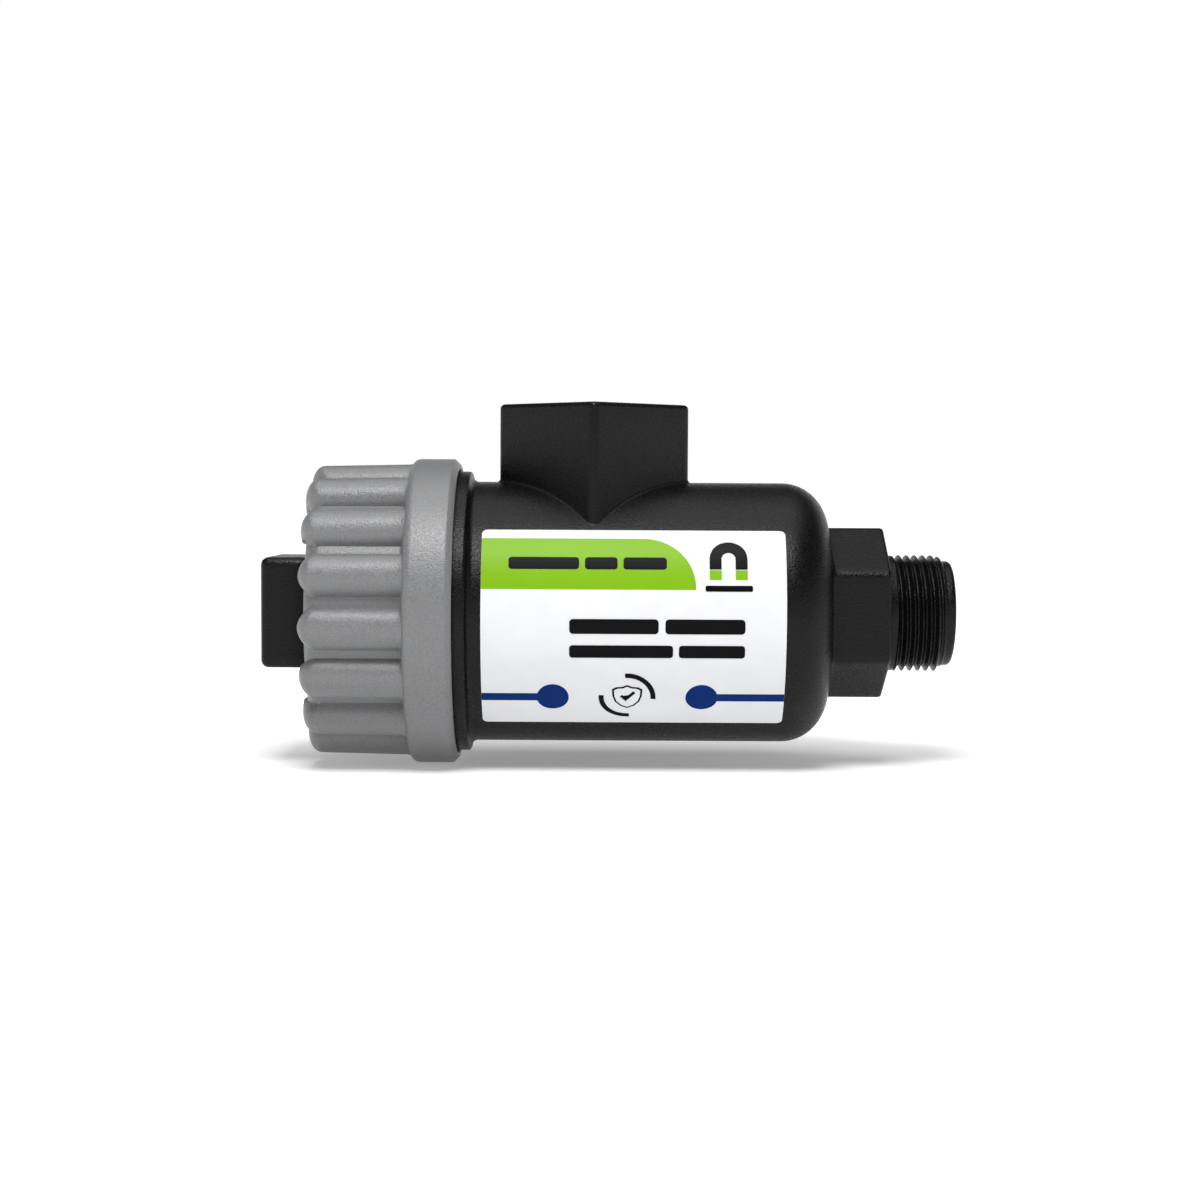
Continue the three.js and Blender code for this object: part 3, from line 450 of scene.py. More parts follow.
BLACK = moulded("black_nylon", (0.0021, 0.0022, 0.0025), 0.32, spread=0.3, specular=0.17)
GREY = moulded("grey_nylon", (0.138, 0.14, 0.143), 0.38, spread=0.18, specular=0.6)
ACETAL = moulded("acetal", (0.72, 0.7, 0.63), 0.4, spread=0.03, specular=0.4, grain_mm=0.8, depth_mm=0.01)
WHITE_FILM = film("white_film", (0.63, 0.635, 0.65))
GREEN_INK = film("green_ink", (0.165, 0.35, 0.006))
BLUE_INK = film("blue_ink", (0.001, 0.019, 0.12), specular=0.05)
BLACK_INK = film("black_ink", (0.003, 0.003, 0.0035), specular=0.05)
RUBBER = rubber("rubber")
DRAWN_STEEL = steel("drawn_steel", (0.62, 0.63, 0.64), 0.26, (0.05, 1, 1))
TURNED_STEEL = steel("turned_steel", (0.42, 0.43, 0.45), 0.34, (1, 0.08, 0.08))
SPRING_STEEL = steel("spring_steel", (0.5, 0.5, 0.52), 0.3, (0.2, 1, 1))
WIRE = steel("screen_wire", (0.58, 0.59, 0.6), 0.3, (1, 1, 1))
NICKEL = steel("nickel_plate", (0.7, 0.67, 0.62), 0.16, (1, 1, 1), scratch_mm=2.5, depth_mm=0.004)

# ---- Housing -----------------------------------------------------------------------------------


def hexagon_ring(x, grow, angles):
    radius = polygon_radius(angles, 6, HEX_FLATS + 2 * grow, HEX_CORNER + grow, math.pi / 2)
    return around_x(x, radius, angles)


def union_thread_rings(angles):
    rings = []
    for x in np.arange(UNION_X0 + 0.1, UNION_X1 + 0.1, UNION_STEP):
        shown = min(1, (x - UNION_X0) / UNION_FADE, (UNION_X1 - x) / UNION_FADE)
        crest = NECK_R + (UNION_CREST_R - NECK_R) * max(shown, 0)
        radius = thread_radius(x, angles, NECK_R, crest, UNION_PITCH, UNION_STARTS, MOUTH_X, 1.2)
        rings.append(around_x(x, radius, angles))
    return rings


def barrel_outline():
    """Outside of the ring, the barrel and the dome."""
    dome_x = DOME_X1 - DOME_R
    dome_r = BARREL_R - DOME_R
    dome_end = math.degrees(math.asin((HEX_JOINT_R - dome_r) / DOME_R))
    outline = [(RING_X0, NECK_R)]
    outline += arc(RING_X0 + RING_SOFT, RING_R - RING_SOFT, RING_SOFT, 180, 90, 4)
    outline += arc(RING_X1 - RING_ROUND, RING_R - RING_ROUND, RING_ROUND, 90, 12, 6)
    outline += arc(RING_X1 + RING_FILLET + 0.1, BARREL_R + RING_FILLET, RING_FILLET, 192, 270, 8)
    outline += [(x, BARREL_R) for x in np.linspace(RING_X1 + 2 * RING_FILLET, dome_x, 64)]
    return outline + arc(dome_x, dome_r, DOME_R, 88, dome_end, 22)


def hexagon_rings(angles):
    rings = []
    for a in np.radians(np.linspace(0, 90, 5)):
        x = DOME_X1 + HEX_BEVEL * (1 - math.cos(a))
        rings.append(hexagon_ring(x, HEX_BEVEL * (1 - math.sin(a)), angles))
    for x in np.linspace(DOME_X1 + 2, HEX_X1 - 1, 10):
        rings.append(hexagon_ring(x, 0, angles))
    for a in np.radians(np.linspace(0, 90, 6)):
        x = HEX_X1 - HEX_BEVEL * (1 - math.sin(a))
        rings.append(hexagon_ring(x, -HEX_BEVEL * (1 - math.cos(a)), angles))
    return rings


def outlet_rings(angles):
    """The plain collar after the hexagon, the outlet's thread and its round nose."""
    collar_r = PIPE_MAJOR_R - COLLAR_UNDER_THREAD
    fillet, edge, lip = 0.4, 0.35, 0.3
    collar = [(HEX_X1, collar_r + 0.5)]
    collar += arc(HEX_X1 + fillet, collar_r + fillet, fillet, 200, 270, 3)
    collar += arc(THREAD_X0 - edge, collar_r - edge, edge, 90, 20, 4)
    rings = turned_rings(collar, angles)
    for x in np.arange(THREAD_X0 + 0.1, THREAD_X1, PIPE_PITCH / 16):
        shown = min(1, (THREAD_X1 - x) / THREAD_LEAD_IN)
        crest = NOSE_R + (PIPE_MAJOR_R - NOSE_R) * max(shown, 0)
        root = min(PIPE_MINOR_R, crest)
        radius = thread_radius(x, angles, root, crest, PIPE_PITCH, 1, THREAD_PHASE_X, 1.25)
        rings.append(around_x(x, radius, angles))
    nose = arc(OUTLET_X1 - NOSE_ROUND, NOSE_R - NOSE_ROUND, NOSE_ROUND, 90, 0, 6)
    nose += arc(OUTLET_X1 - lip, OUTLET_BORE_R + lip, lip, 360, 270, 3)
    return rings + turned_rings(nose, angles)


def chamber_outline():
    """The inside, from the strainer's seat back to the mouth."""
    round_r = DOME_R - END_WALL
    soft = 0.3
    seal_end_x = MOUTH_X + SEAL_BORE_LENGTH
    outline = [(SEAT_X1 + SEAT_CONE, OUTLET_BORE_R), (SEAT_X1, SEAT_R)]
    outline += [(INNER_END_X + soft, SEAT_R), (INNER_END_X, SEAT_R + soft)]
    outline += arc(INNER_END_X - round_r, CHAMBER_R - round_r, round_r, 0, 90, 8)
    outline += [(seal_end_x + 0.4, CHAMBER_R), (seal_end_x, SEAL_BORE_R)]
    return outline + [(MOUTH_X + MOUTH_CHAMFER, SEAL_BORE_R), (MOUTH_X, SEAL_BORE_R + MOUTH_CHAMFER)]


def housing_shell():
    """The barrel, ring, dome, hexagon and outlet thread as one closed surface, hollow inside."""
    angles = turn_angles(240)
    mouth = [(MOUTH_X, NECK_R - NECK_CHAMFER), (MOUTH_X + NECK_CHAMFER, NECK_R)]
    rings = turned_rings(mouth, angles) + union_thread_rings(angles)
    rings += turned_rings(barrel_outline(), angles) + hexagon_rings(angles)
    rings += outlet_rings(angles) + turned_rings(chamber_outline(), angles)
    return loft("housing", rings, BLACK)


def inlet_block():
    """The square port, with a fillet that rolls along the barrel, and a foot inside its wall."""
    angles = turn_angles(288)

    def outline(grow):
        return polygon_radius(angles, 4, INLET_SIDE + 2 * grow, INLET_CORNER + grow)

    wall = around_z(0, outline(0), angles)
    outer = around_z(0, outline(INLET_FILLET), angles)
    reach = BARREL_R + INLET_FILLET
    centre_z = np.sqrt(reach**2 - outer[:, 1] ** 2)
    centre = np.column_stack([outer[:, 0], outer[:, 1], centre_z])
    to_wall = np.column_stack([wall[:, 0] - outer[:, 0], wall[:, 1] - outer[:, 1], 0 * centre_z])
    to_wall /= np.linalg.norm(to_wall, axis=1)[:, None]
    to_axis = -np.column_stack([0 * centre_z, outer[:, 1], centre_z]) / reach
    turn = np.arccos(np.clip((to_wall * to_axis).sum(1), -1, 1))[:, None]
    lift = np.array([0, 0, AXIS_Z])

    def fillet(t):
        mixed = np.sin((1 - t) * turn) * to_wall + np.sin(t * turn) * to_axis
        return centre + INLET_FILLET * mixed / np.sin(turn) + lift

    foot_depth = 2  # under the barrel's surface
    foot = centre + (INLET_FILLET + foot_depth) * to_axis
    rings = []
    for share in (0.02, 0.3, 0.6, 0.85):
        x, y = foot[:, 0] * share, foot[:, 1] * share
        z = np.sqrt((BARREL_R - foot_depth) ** 2 - y**2) + AXIS_Z
        rings.append(np.column_stack([x, y, z]))
    rings.append(foot + lift)
    rings.extend(fillet(t) for t in np.linspace(0.95, 0, 9))
    low_z = fillet(0)[:, 2]
    top_z = INLET_Z - INLET_ROUND
    for share in (0.25, 0.5, 0.75, 1):
        ring = wall.copy()
        ring[:, 2] = low_z + (top_z - low_z) * share
        rings.append(ring)
    for a in np.radians(np.linspace(15, 90, 6)):
        z = top_z + INLET_ROUND * math.sin(a)
        rings.append(around_z(z, outline(-INLET_ROUND * (1 - math.cos(a))), angles))
    for share in (0.8, 0.4, 0.02):
        rings.append(around_z(INLET_Z, outline(-INLET_ROUND) * share, angles))
    return loft("inlet_block", rings, BLACK, closed=False)


def inlet_cutter():
    """What the inlet's threaded socket and passage take away."""
    angles = turn_angles(160)
    seat_z = INLET_Z - INLET_DEPTH
    passage_z = AXIS_Z + 12
    thread_z0 = seat_z + 0.8
    thread_z1 = INLET_Z - 1.2
    rings = [around_z(passage_z, INLET_PASSAGE_R, angles)]
    rings.append(around_z(seat_z, INLET_PASSAGE_R, angles))
    rings.append(around_z(seat_z, PIPE_MINOR_R, angles))
    for z in np.arange(thread_z0 + 0.1, thread_z1, PIPE_PITCH / 14):
        growth = min(1, (z - thread_z0) / 1.5)
        crest = PIPE_MINOR_R + (PIPE_MAJOR_R - PIPE_MINOR_R) * growth
        rings.append(around_z(z, thread_radius(z, angles, PIPE_MINOR_R, crest, PIPE_PITCH), angles))
    rings.append(around_z(thread_z1, PIPE_MAJOR_R - 0.2, angles))
    rings.append(around_z(INLET_Z + 1, PIPE_MAJOR_R + 2, angles))
    return loft("inlet_cutter", rings, BLACK, closed=False)


def housing():
    shell = boolean(housing_shell(), inlet_block(), "UNION")
    shell = boolean(shell, inlet_cutter(), "DIFFERENCE")
    placed(smoothed(shell), "housing", "black_nylon", "filter_body")


# ---- Union nut ---------------------------------------------------------------------------------


def finger_shares(across, half_width):
    """How far a rib stands out at a distance across it: 0 in the valley and 1 on the crest.

    Its section is half an ellipse that starts below the valley, with a small fillet at its foot.
    """
    across = np.minimum(np.abs(across) / half_width, 1)
    raw = (1 + RIB_SUNK) * np.sqrt(1 - across**2) - RIB_SUNK
    blend = np.maximum(RIB_FOOT - np.abs(raw), 0) / RIB_FOOT
    return np.maximum(raw, 0) + blend**2 * RIB_FOOT / 4


def rib_nose(count):
    """Side view of a rib's free end, from the nut's face up to the crest."""
    low = NUT_RECESS_R + 2.8
    points = []
    for a in np.radians(np.linspace(180, 90, count)):
        x = NUT_X0 + RIB_NOSE_X * (1 + math.cos(a))
        points.append((x, low + (RIB_CREST_R - low) * math.sin(a) ** 0.6))
    return points


def ribbed_rings(valleys, crests, angles):
    """Rings that follow one outline in the valleys and another on the crests."""
    pitch = 2 * math.pi / RIBS
    from_front = math.pi - angles - math.radians(RIB_PHASE)
    across = ((from_front / pitch) % 1 - 0.5) * pitch * VALLEY_R
    rings = []
    for (valley_x, valley_r), (crest_x, crest_r) in zip(valleys, crests, strict=True):
        from_end = min(crest_x - NUT_X0, RIB_END)
        narrowing = RIB_END - math.sqrt(RIB_END**2 - (RIB_END - from_end) ** 2)
        share = finger_shares(across, RIB_HALF_WIDTH - narrowing)
        x = valley_x + (crest_x - valley_x) * share
        rings.append(around_x(x, valley_r + (crest_r - valley_r) * share, angles))
    return rings


def between(start, end, shares):
    """Points on the straight line from start to end."""
    (x0, r0), (x1, r1) = start, end
    return [(x0 + (x1 - x0) * t, r0 + (r1 - r0) * t) for t in shares]


def nut_outside(angles):
    """The nut's end face, its ribs and its collar."""
    face_x = NUT_X0 + RIB_PROUD
    soft, end_round, foot = 0.4, 3.6, 0.9
    face = arc(face_x + soft, NUT_RECESS_R + soft, soft, 270, 180, 4)
    face += [(face_x, NUT_RECESS_R + 1.5), (face_x, NUT_RECESS_R + 2.4)]
    rings = turned_rings(face, angles)

    ends = arc(face_x + end_round, VALLEY_R - end_round, end_round, 180, 90, 17)
    rings += ribbed_rings(ends, rib_nose(18), angles)

    along = np.linspace(0, 1, 14)[1:]
    valley = between((face_x + end_round, VALLEY_R), (SHOULDER_X - foot, VALLEY_R), along)
    crest_start = (NUT_X0 + RIB_NOSE_X, RIB_CREST_R)
    crest_end = (SHOULDER_X - 0.6, RIB_CREST_R + RIB_DRAFT)
    rings += ribbed_rings(valley, between(crest_start, crest_end, along), angles)

    shoulder_x, shoulder_r = SHOULDER_X + COLLAR_ROUND, COLLAR_R - COLLAR_ROUND
    meet_r = crest_end[1] + 0.15
    meet_angle = 180 - math.degrees(math.asin((meet_r - shoulder_r) / COLLAR_ROUND))
    over_ribs = arc(shoulder_x, shoulder_r, COLLAR_ROUND, meet_angle, 90, 8)
    fillet = arc(SHOULDER_X - foot, VALLEY_R + foot, foot, 280, 360, 4)
    rise = between(crest_end, (over_ribs[0][0], meet_r), np.linspace(0.2, 1, 5))
    rings += ribbed_rings(fillet, rise, angles)
    in_valleys = arc(shoulder_x, shoulder_r, COLLAR_ROUND, 180, 90, 8)
    rings += ribbed_rings(in_valleys, over_ribs, angles)

    chamfer_x = NUT_X1 - COLLAR_CHAMFER
    chamfer_r = COLLAR_R - COLLAR_CHAMFER
    rim = between((chamfer_x - 3, COLLAR_R), (chamfer_x, COLLAR_R), np.linspace(0, 1, 6))
    rim += [(chamfer_x + 0.12, COLLAR_R - 0.07), (NUT_X1 - 0.1, chamfer_r + 0.15)]
    return rings + turned_rings(rim + [(NUT_X1, chamfer_r - 0.05)], angles)


def nut_inside(angles):
    """The collar's bore, the thread, the cover's place and the snap ring's recess."""
    bore_r = RING_R + 0.6
    thread_end_x = RING_X0 - 0.3
    rim = [(NUT_X1, bore_r + 0.15), (NUT_X1 - 0.15, bore_r), (thread_end_x, bore_r)]
    rings = turned_rings(rim + [(thread_end_x, 29.7)], angles)
    for x in np.arange(RING_X0 - 0.5, MOUTH_X - 0.5, -UNION_STEP):
        radius = thread_radius(x, angles, 29.6, 31.2, UNION_PITCH, UNION_STARTS, MOUTH_X, 0.8)
        rings.append(around_x(x, radius, angles))
    cavity_r = COVER_RIM_R + 0.3
    hub_bore_r = HUB_R + 0.6
    inner_x = NUT_X0 + 5.9
    inside = [(MOUTH_X - 0.6, 29.6), (MOUTH_X - 0.6, cavity_r), (inner_x, cavity_r)]
    inside += [(inner_x, hub_bore_r), (SNAP_FLOOR_X, hub_bore_r), (SNAP_FLOOR_X, NUT_RECESS_R)]
    return rings + turned_rings(inside, angles)


def union_nut():
    angles = turn_angles(RIBS * 44)
    rings = nut_outside(angles) + nut_inside(angles)
    nut = loft("union_nut_ribbed", rings, GREY, smooth_angle=50)
    placed(nut, "nut", "grey_nylon", "union_nut")


# ---- Label -------------------------------------------------------------------------------------

LABEL_TOP = math.radians(140)  # angle round the axis of the label's top edge
LABEL_R = BARREL_R + 0.02
FILM_THICKNESS = 0.13
INK_THICKNESS = 0.03
LABEL_WIDTH = LABEL_HIGH.x - LABEL_LOW.x
LABEL_HEIGHT = 47.5
PRINT_STRIP = 1.0  # the print bends round the barrel in strips this high
PRINT_INSET = 0.02  # from the film's edges
SEAL_U, SEAL_V = 31.7, 38.9
LOGO_U, LOGO_V = 53.4, 7.2
LOGO_INNER, LOGO_OUTER = 1.5, 4.1
LOGO_TIP_V = LOGO_V + 2.55


def rounded(u0, v0, u1, v1, radius):
    """Outline of a rectangle with round corners, u along the filter and v down the label."""
    made = []
    corners = [(u1 - radius, v1 - radius), (u0 + radius, v1 - radius)]
    corners += [(u0 + radius, v0 + radius), (u1 - radius, v0 + radius)]
    for quarter, (u, v) in enumerate(corners):
        for a in np.radians(np.linspace(90 * quarter, 90 * quarter + 90, 5)):
            made.append((u + radius * math.cos(a), v + radius * math.sin(a)))
    return made


def disc(u, v, radius, count=48):
    return [(u + radius * math.cos(a), v + radius * math.sin(a)) for a in turn_angles(count)]


def sector_band(u, v, inner, outer, start, end, count=24):
    """Outline of a curved bar, from one angle to another in degrees."""
    spread = np.radians(np.linspace(start, end, count))
    out = [(u + outer * math.cos(a), v + outer * math.sin(a)) for a in spread]
    return out + [(u + inner * math.cos(a), v + inner * math.sin(a)) for a in spread[::-1]]


def facing_out(outline):
    """The outline in the order that turns its upper side away from the barrel."""
    following = outline[1:] + outline[:1]
    area = sum(u0 * v1 - u1 * v0 for (u0, v0), (u1, v1) in zip(outline, following, strict=True))
    return outline if area < 0 else outline[::-1]


def wrapped(name, outlines, layer, material):
    """Closed flat outlines, given a thickness and bent round the barrel."""
    mesh = bmesh.new()
    thickness = FILM_THICKNESS if layer == 0 else INK_THICKNESS
    floor_r = LABEL_R + (0 if layer == 0 else FILM_THICKNESS + (layer - 1) * INK_THICKNESS)
    for outline in map(facing_out, outlines):
        low = [mesh.verts.new((u, v, 0)) for u, v in outline]
        high = [mesh.verts.new((u, v, 1)) for u, v in outline]
        mesh.faces.new(low[::-1])
        mesh.faces.new(high)
        for i in range(len(low)):
            k = (i + 1) % len(low)
            mesh.faces.new((low[i], low[k], high[k], high[i]))
    lowest = min(v for outline in outlines for _, v in outline)
    highest = max(v for outline in outlines for _, v in outline)
    cut_v = math.ceil(lowest / PRINT_STRIP + 0.01) * PRINT_STRIP
    while cut_v < highest:
        geometry = mesh.verts[:] + mesh.edges[:] + mesh.faces[:]
        bmesh.ops.bisect_plane(mesh, geom=geometry, plane_co=(0, cut_v, 0), plane_no=(0, 1, 0))
        cut_v += PRINT_STRIP
    for vertex in mesh.verts:
        u, v, high = vertex.co
        angle = LABEL_TOP + v / LABEL_R
        radius = floor_r + high * thickness
        place = Vector((LABEL_LOW.x + u, radius * math.cos(angle), radius * math.sin(angle) + AXIS_Z))
        vertex.co = place * MM
    made = bpy.data.meshes.new(name)
    mesh.to_mesh(made)
    mesh.free()
    made.materials.append(material)
    return placed(smoothed(add_object(name, made)), "housing", "label_film")


def word_bars(lengths, u0, u1, v0, v1):
    """Plain bars across u0 to u1 where the photograph has words, each of its share of the line."""
    gap = 0.45 * (v1 - v0)
    scale = (u1 - u0 - gap * (len(lengths) - 1)) / sum(lengths)
    made = []
    u = u0
    for length in lengths:
        made.append(rounded(u, v0, u + length * scale, v1, 0.25 * (v1 - v0)))
        u += length * scale + gap
    return made


def green_marks():
    """The band under the model line: square on the left, with one round corner."""
    top, low, round_u, radius_u = 2.3, 14.15, 35.0, 11.4
    outline = [(PRINT_INSET, top)]
    for a in np.radians(np.linspace(-90, 0, 24)):
        outline.append((round_u + radius_u * math.cos(a), low + (low - top) * math.sin(a)))
    return [outline + [(PRINT_INSET, low)]]


def blue_marks():
    """A line in from each side, with a disc at its end."""
    top, low = 37.95, 40.0
    made = []
    for start, end, dot in ((PRINT_INSET, 12.6, 15.5), (50.8, LABEL_WIDTH - PRINT_INSET, 47.9)):
        made.append([(start, top), (end, top), (end, low), (start, low)])
        made.append(disc(dot, 39.0, 3.5))
    return made


def shield(u, v, size):
    """A plain shield: flat top with a point in the middle, sides that meet below."""
    half = size / 2
    outline = [(0, -1), (0.35, -0.84), (0.72, -0.82), (1, -0.66), (0.97, -0.1), (0.8, 0.4)]
    outline += [(0.45, 0.78), (0, 1)]
    outline += [(-x, y) for x, y in outline[-2:0:-1]]
    return [(u + x * half, v + y * half) for x, y in outline]


def seal_marks():
    """Two plain arcs round the shield."""
    return [sector_band(SEAL_U, SEAL_V, 5.1, 6.2, start, start + 100) for start in (-95, 85)]


def logo_legs(v0, v1):
    """Both legs of the horseshoe between two heights."""
    made = []
    for u0 in (LOGO_U - LOGO_OUTER, LOGO_U + LOGO_INNER):
        made.append(rounded(u0, v0, u0 + LOGO_OUTER - LOGO_INNER, v1, 0.05))
    return made


def logo_marks():
    """A plain horseshoe magnet. Its tips are in the green layer."""
    bow = sector_band(LOGO_U, LOGO_V + 0.01, LOGO_INNER, LOGO_OUTER, 180, 360)
    return [bow] + logo_legs(LOGO_V, LOGO_V + 2.4)


def label():
    """White film with green, blue and black layers of print, and a shield with a tick on top."""
    film_outline = rounded(0, 0, LABEL_WIDTH, LABEL_HEIGHT, 1.2)
    base = wrapped("label_base", [film_outline], 0, WHITE_FILM)
    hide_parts("label_film")
    tips = logo_legs(LOGO_TIP_V, LOGO_TIP_V + 2.2)
    wrapped("label_green", green_marks() + tips, 1, GREEN_INK)
    wrapped("label_blue", blue_marks(), 1, BLUE_INK)
    black = word_bars((13, 6, 8), 5.9, 40.1, 6.9, 9.7) + logo_marks()
    black += word_bars((1,), 48.4, 58.6, 13.2, 14.5)
    black += word_bars((19, 17), 19.1, 57.0, 20.5, 23.7)
    black += word_bars((22, 14), 19.1, 57.0, 26.2, 29.0)
    black += [shield(SEAL_U, SEAL_V, 6.6)] + seal_marks()
    wrapped("label_black", black, 2, BLACK_INK)
    wrapped("label_shield", [shield(SEAL_U, SEAL_V, 5.7)], 3, WHITE_FILM)
    tick = [(30.1, 38.7), (30.6, 38.2), (31.4, 39.0), (33.0, 37.2), (33.5, 37.7), (31.4, 40.0)]
    wrapped("label_tick", [tick], 4, BLACK_INK)


# ---- Cartridge ---------------------------------------------------------------------------------


def o_ring(node, body):
    low, high = edges(node)
    section = (high.x - low.x) / 2
    outer = (high.z - low.z) / 2
    outline = arc(low.x + section, outer - section, section, 180, -160, 17)
    placed(turned(node + "_moulded", outline, RUBBER, 160, 60), body, "rubber", node)


def groove(node, half_width, floor_r, top_r):
    """The groove that an O-ring lies in."""
    low, high = edges(node)
    x0 = (low.x + high.x) / 2 - half_width
    x1 = x0 + 2 * half_width
    return [(x0, top_r), (x0, floor_r), (x1, floor_r), (x1, top_r)]


def cover():
    hub_x = COVER_LOW.x
    rim_x1 = MOUTH_X - 0.3
    rim_x0 = rim_x1 - COVER_LENGTH
    snap_x = SNAP_FLOOR_X - SNAP_GROOVE_WIDTH
    snap_r = HUB_R - SNAP_GROOVE_DEPTH
    inner_x = rim_x0 + COVER_END_WALL
    gland_x, gland_r = inner_x - 2.1, POCKET_R + 2
    bore_r = POCKET_R + 0.3
    chamfer = 0.4
    outline = [(hub_x, bore_r), (hub_x, HUB_R - chamfer), (hub_x + chamfer, HUB_R)]
    outline += [(snap_x, HUB_R), (snap_x, snap_r), (SNAP_FLOOR_X, snap_r), (SNAP_FLOOR_X, HUB_R)]
    outline += [(rim_x0, HUB_R), (rim_x0, COVER_RIM_R), (rim_x1, COVER_RIM_R), (rim_x1, SPIGOT_R)]
    outline += groove("cover_o_ring", 1.4, 22.9, SPIGOT_R)
    outline += [(COVER_HIGH.x, SPIGOT_R), (COVER_HIGH.x, HOLLOW_R), (inner_x, HOLLOW_R)]
    outline += [(inner_x, gland_r), (gland_x, gland_r), (gland_x, bore_r)]
    made = turned("cover_turned", softened(outline, 0.5), BLACK, 160)
    placed(made, "cartridge", "black_nylon", "cartridge_cover")


def pocket():
    """A drawn steel tube with a closed end. A pinhole on the axis keeps it one closed surface."""
    pinhole_r = 0.1
    flange_x, flange_r, flange_thickness = COVER_LOW.x + 10.4, POCKET_R + 5, 1.8
    end_x = POCKET_HIGH.x - POCKET_ROUND
    end_r = POCKET_R - POCKET_ROUND
    outline = [(POCKET_LOW.x, POCKET_R - POCKET_WALL), (POCKET_LOW.x, POCKET_R)]
    outline += [(flange_x, POCKET_R), (flange_x, flange_r)]
    outline += [(flange_x + flange_thickness, flange_r), (flange_x + flange_thickness, POCKET_R)]
    outline += arc(end_x, end_r, POCKET_ROUND, 90, 0, 10)
    outline += [(POCKET_HIGH.x, pinhole_r), (POCKET_HIGH.x - POCKET_WALL, pinhole_r)]
    outline += arc(end_x, end_r, POCKET_ROUND - POCKET_WALL, 0, 90, 10)
    made = turned("pocket_drawn", softened(outline, 0.25), DRAWN_STEEL, 144)
    placed(made, "cartridge", "stainless", "magnet_pocket")


def washer():
    low, high = edges("thrust_washer")
    inner = HUB_R + 0.3
    outer = COVER_RIM_R - 1.2
    outline = [(low.x, inner), (low.x, outer), (high.x, outer), (high.x, inner)]
    made = turned("thrust_washer_turned", softened(outline, 0.12), ACETAL, 128)
    placed(made, "cartridge", "acetal", "thrust_washer")


def snap_ring():
    """A flat spring ring, open at the top, with a hole in the eye at each end."""
    low, high = edges("nut_snap_ring")
    inner, outer = HUB_R - 0.85, HUB_R + 1.7
    opening, eye_r = math.radians(24), 1.5
    eye_angle = opening / 2 + eye_r / outer
    eye_centre = HUB_R + 2.6 - eye_r
    section = softened([(low.x, inner), (low.x, outer), (high.x, outer), (high.x, inner)], 0.15)
    start = opening / 2 + 0.02
    sweep = np.linspace(start, 2 * math.pi - start, 160)
    rings = []
    for a in sweep:
        rings.append(np.array([(x, r * math.sin(a), r * math.cos(a) + AXIS_Z) for x, r in section]))
    made = loft("snap_ring_bent", rings, SPRING_STEEL, closed=False)

    def eyes(name, radius, stretch):
        """A short bar at each end of the ring, longer than the ring is thick by stretch a side."""
        angles = turn_angles(40)
        for side in (-1, 1):
            y = eye_centre * math.sin(side * eye_angle)
            z = eye_centre * math.cos(side * eye_angle) + AXIS_Z
            rows = []
            for x in (low.x - stretch, high.x + stretch):
                row = [np.full(len(angles), x), y + radius * np.cos(angles), z + radius * np.sin(angles)]
                rows.append(np.stack(row, axis=1))
            yield loft(f"{name}_{side}", rows, SPRING_STEEL, closed=False)

    for eye in eyes("eye", eye_r, 0):
        made = boolean(made, eye, "UNION")
    for hole in eyes("hole", 0.6, 1):
        made = boolean(made, hole, "DIFFERENCE")
    placed(smoothed(made), "cartridge", "stainless", "nut_snap_ring")


def window_cutters(rows, columns, x0, x1, width, reach, corner):
    """Rounded bars that stick out from the axis, one for each window."""
    pitch = (x1 - x0) / rows
    length = pitch - CAGE_HOOP
    turn = turn_angles(32)

    def rounded_side(side, share):
        """One coordinate of a rectangle with round corners, from the sine or cosine of the turn."""
        return np.clip(share * 10, -1, 1) * (side / 2 - corner) + corner * share

    along = rounded_side(length, np.cos(turn))
    across = rounded_side(width, np.sin(turn))
    points, faces = [], []
    for row in range(rows):
        middle = x0 + row * pitch + length / 2
        for column in range(columns):
            a = 2 * math.pi * column / columns
            out = Vector((0, math.cos(a), math.sin(a)))
            side = Vector((0, -math.sin(a), math.cos(a)))
            base = len(points)
            for distance in reach:
                for shift_x, shift in zip(along, across, strict=True):
                    place = out * distance + side * shift
                    points.append((middle + shift_x, place.y, place.z + AXIS_Z))
            faces.extend(tuple(base + i for i in face) for face in loft_faces(2, len(turn), False))
    return new_object("windows", np.array(points), faces, BLACK)


def cage():
    """A tube with a drilled floor and three rows of six windows."""
    hole_r = POCKET_R + 0.6
    x0, x1 = CAGE_LOW.x, CAGE_HIGH.x
    inner_r = CAGE_R - CAGE_WALL
    outline = [(x0, hole_r), (x0, CAGE_R), (x1, CAGE_R), (x1, inner_r)]
    outline += [(x0 + CAGE_BASE, inner_r), (x0 + CAGE_BASE, hole_r)]
    tube = turned("strainer_cage_moulded", softened(outline, 0.3), BLACK, 240)
    columns = 6
    width = 2 * CAGE_R * math.sin(CAGE_WINDOW_SHARE * math.pi / columns)
    window_x0 = COVER_HIGH.x + CAGE_HOOP
    cutter = window_cutters(3, columns, window_x0, x1, width, (15, 24), 1.5)
    boolean(tube, cutter, "DIFFERENCE")
    placed(smoothed(tube), "cartridge", "black_nylon", "strainer_cage")


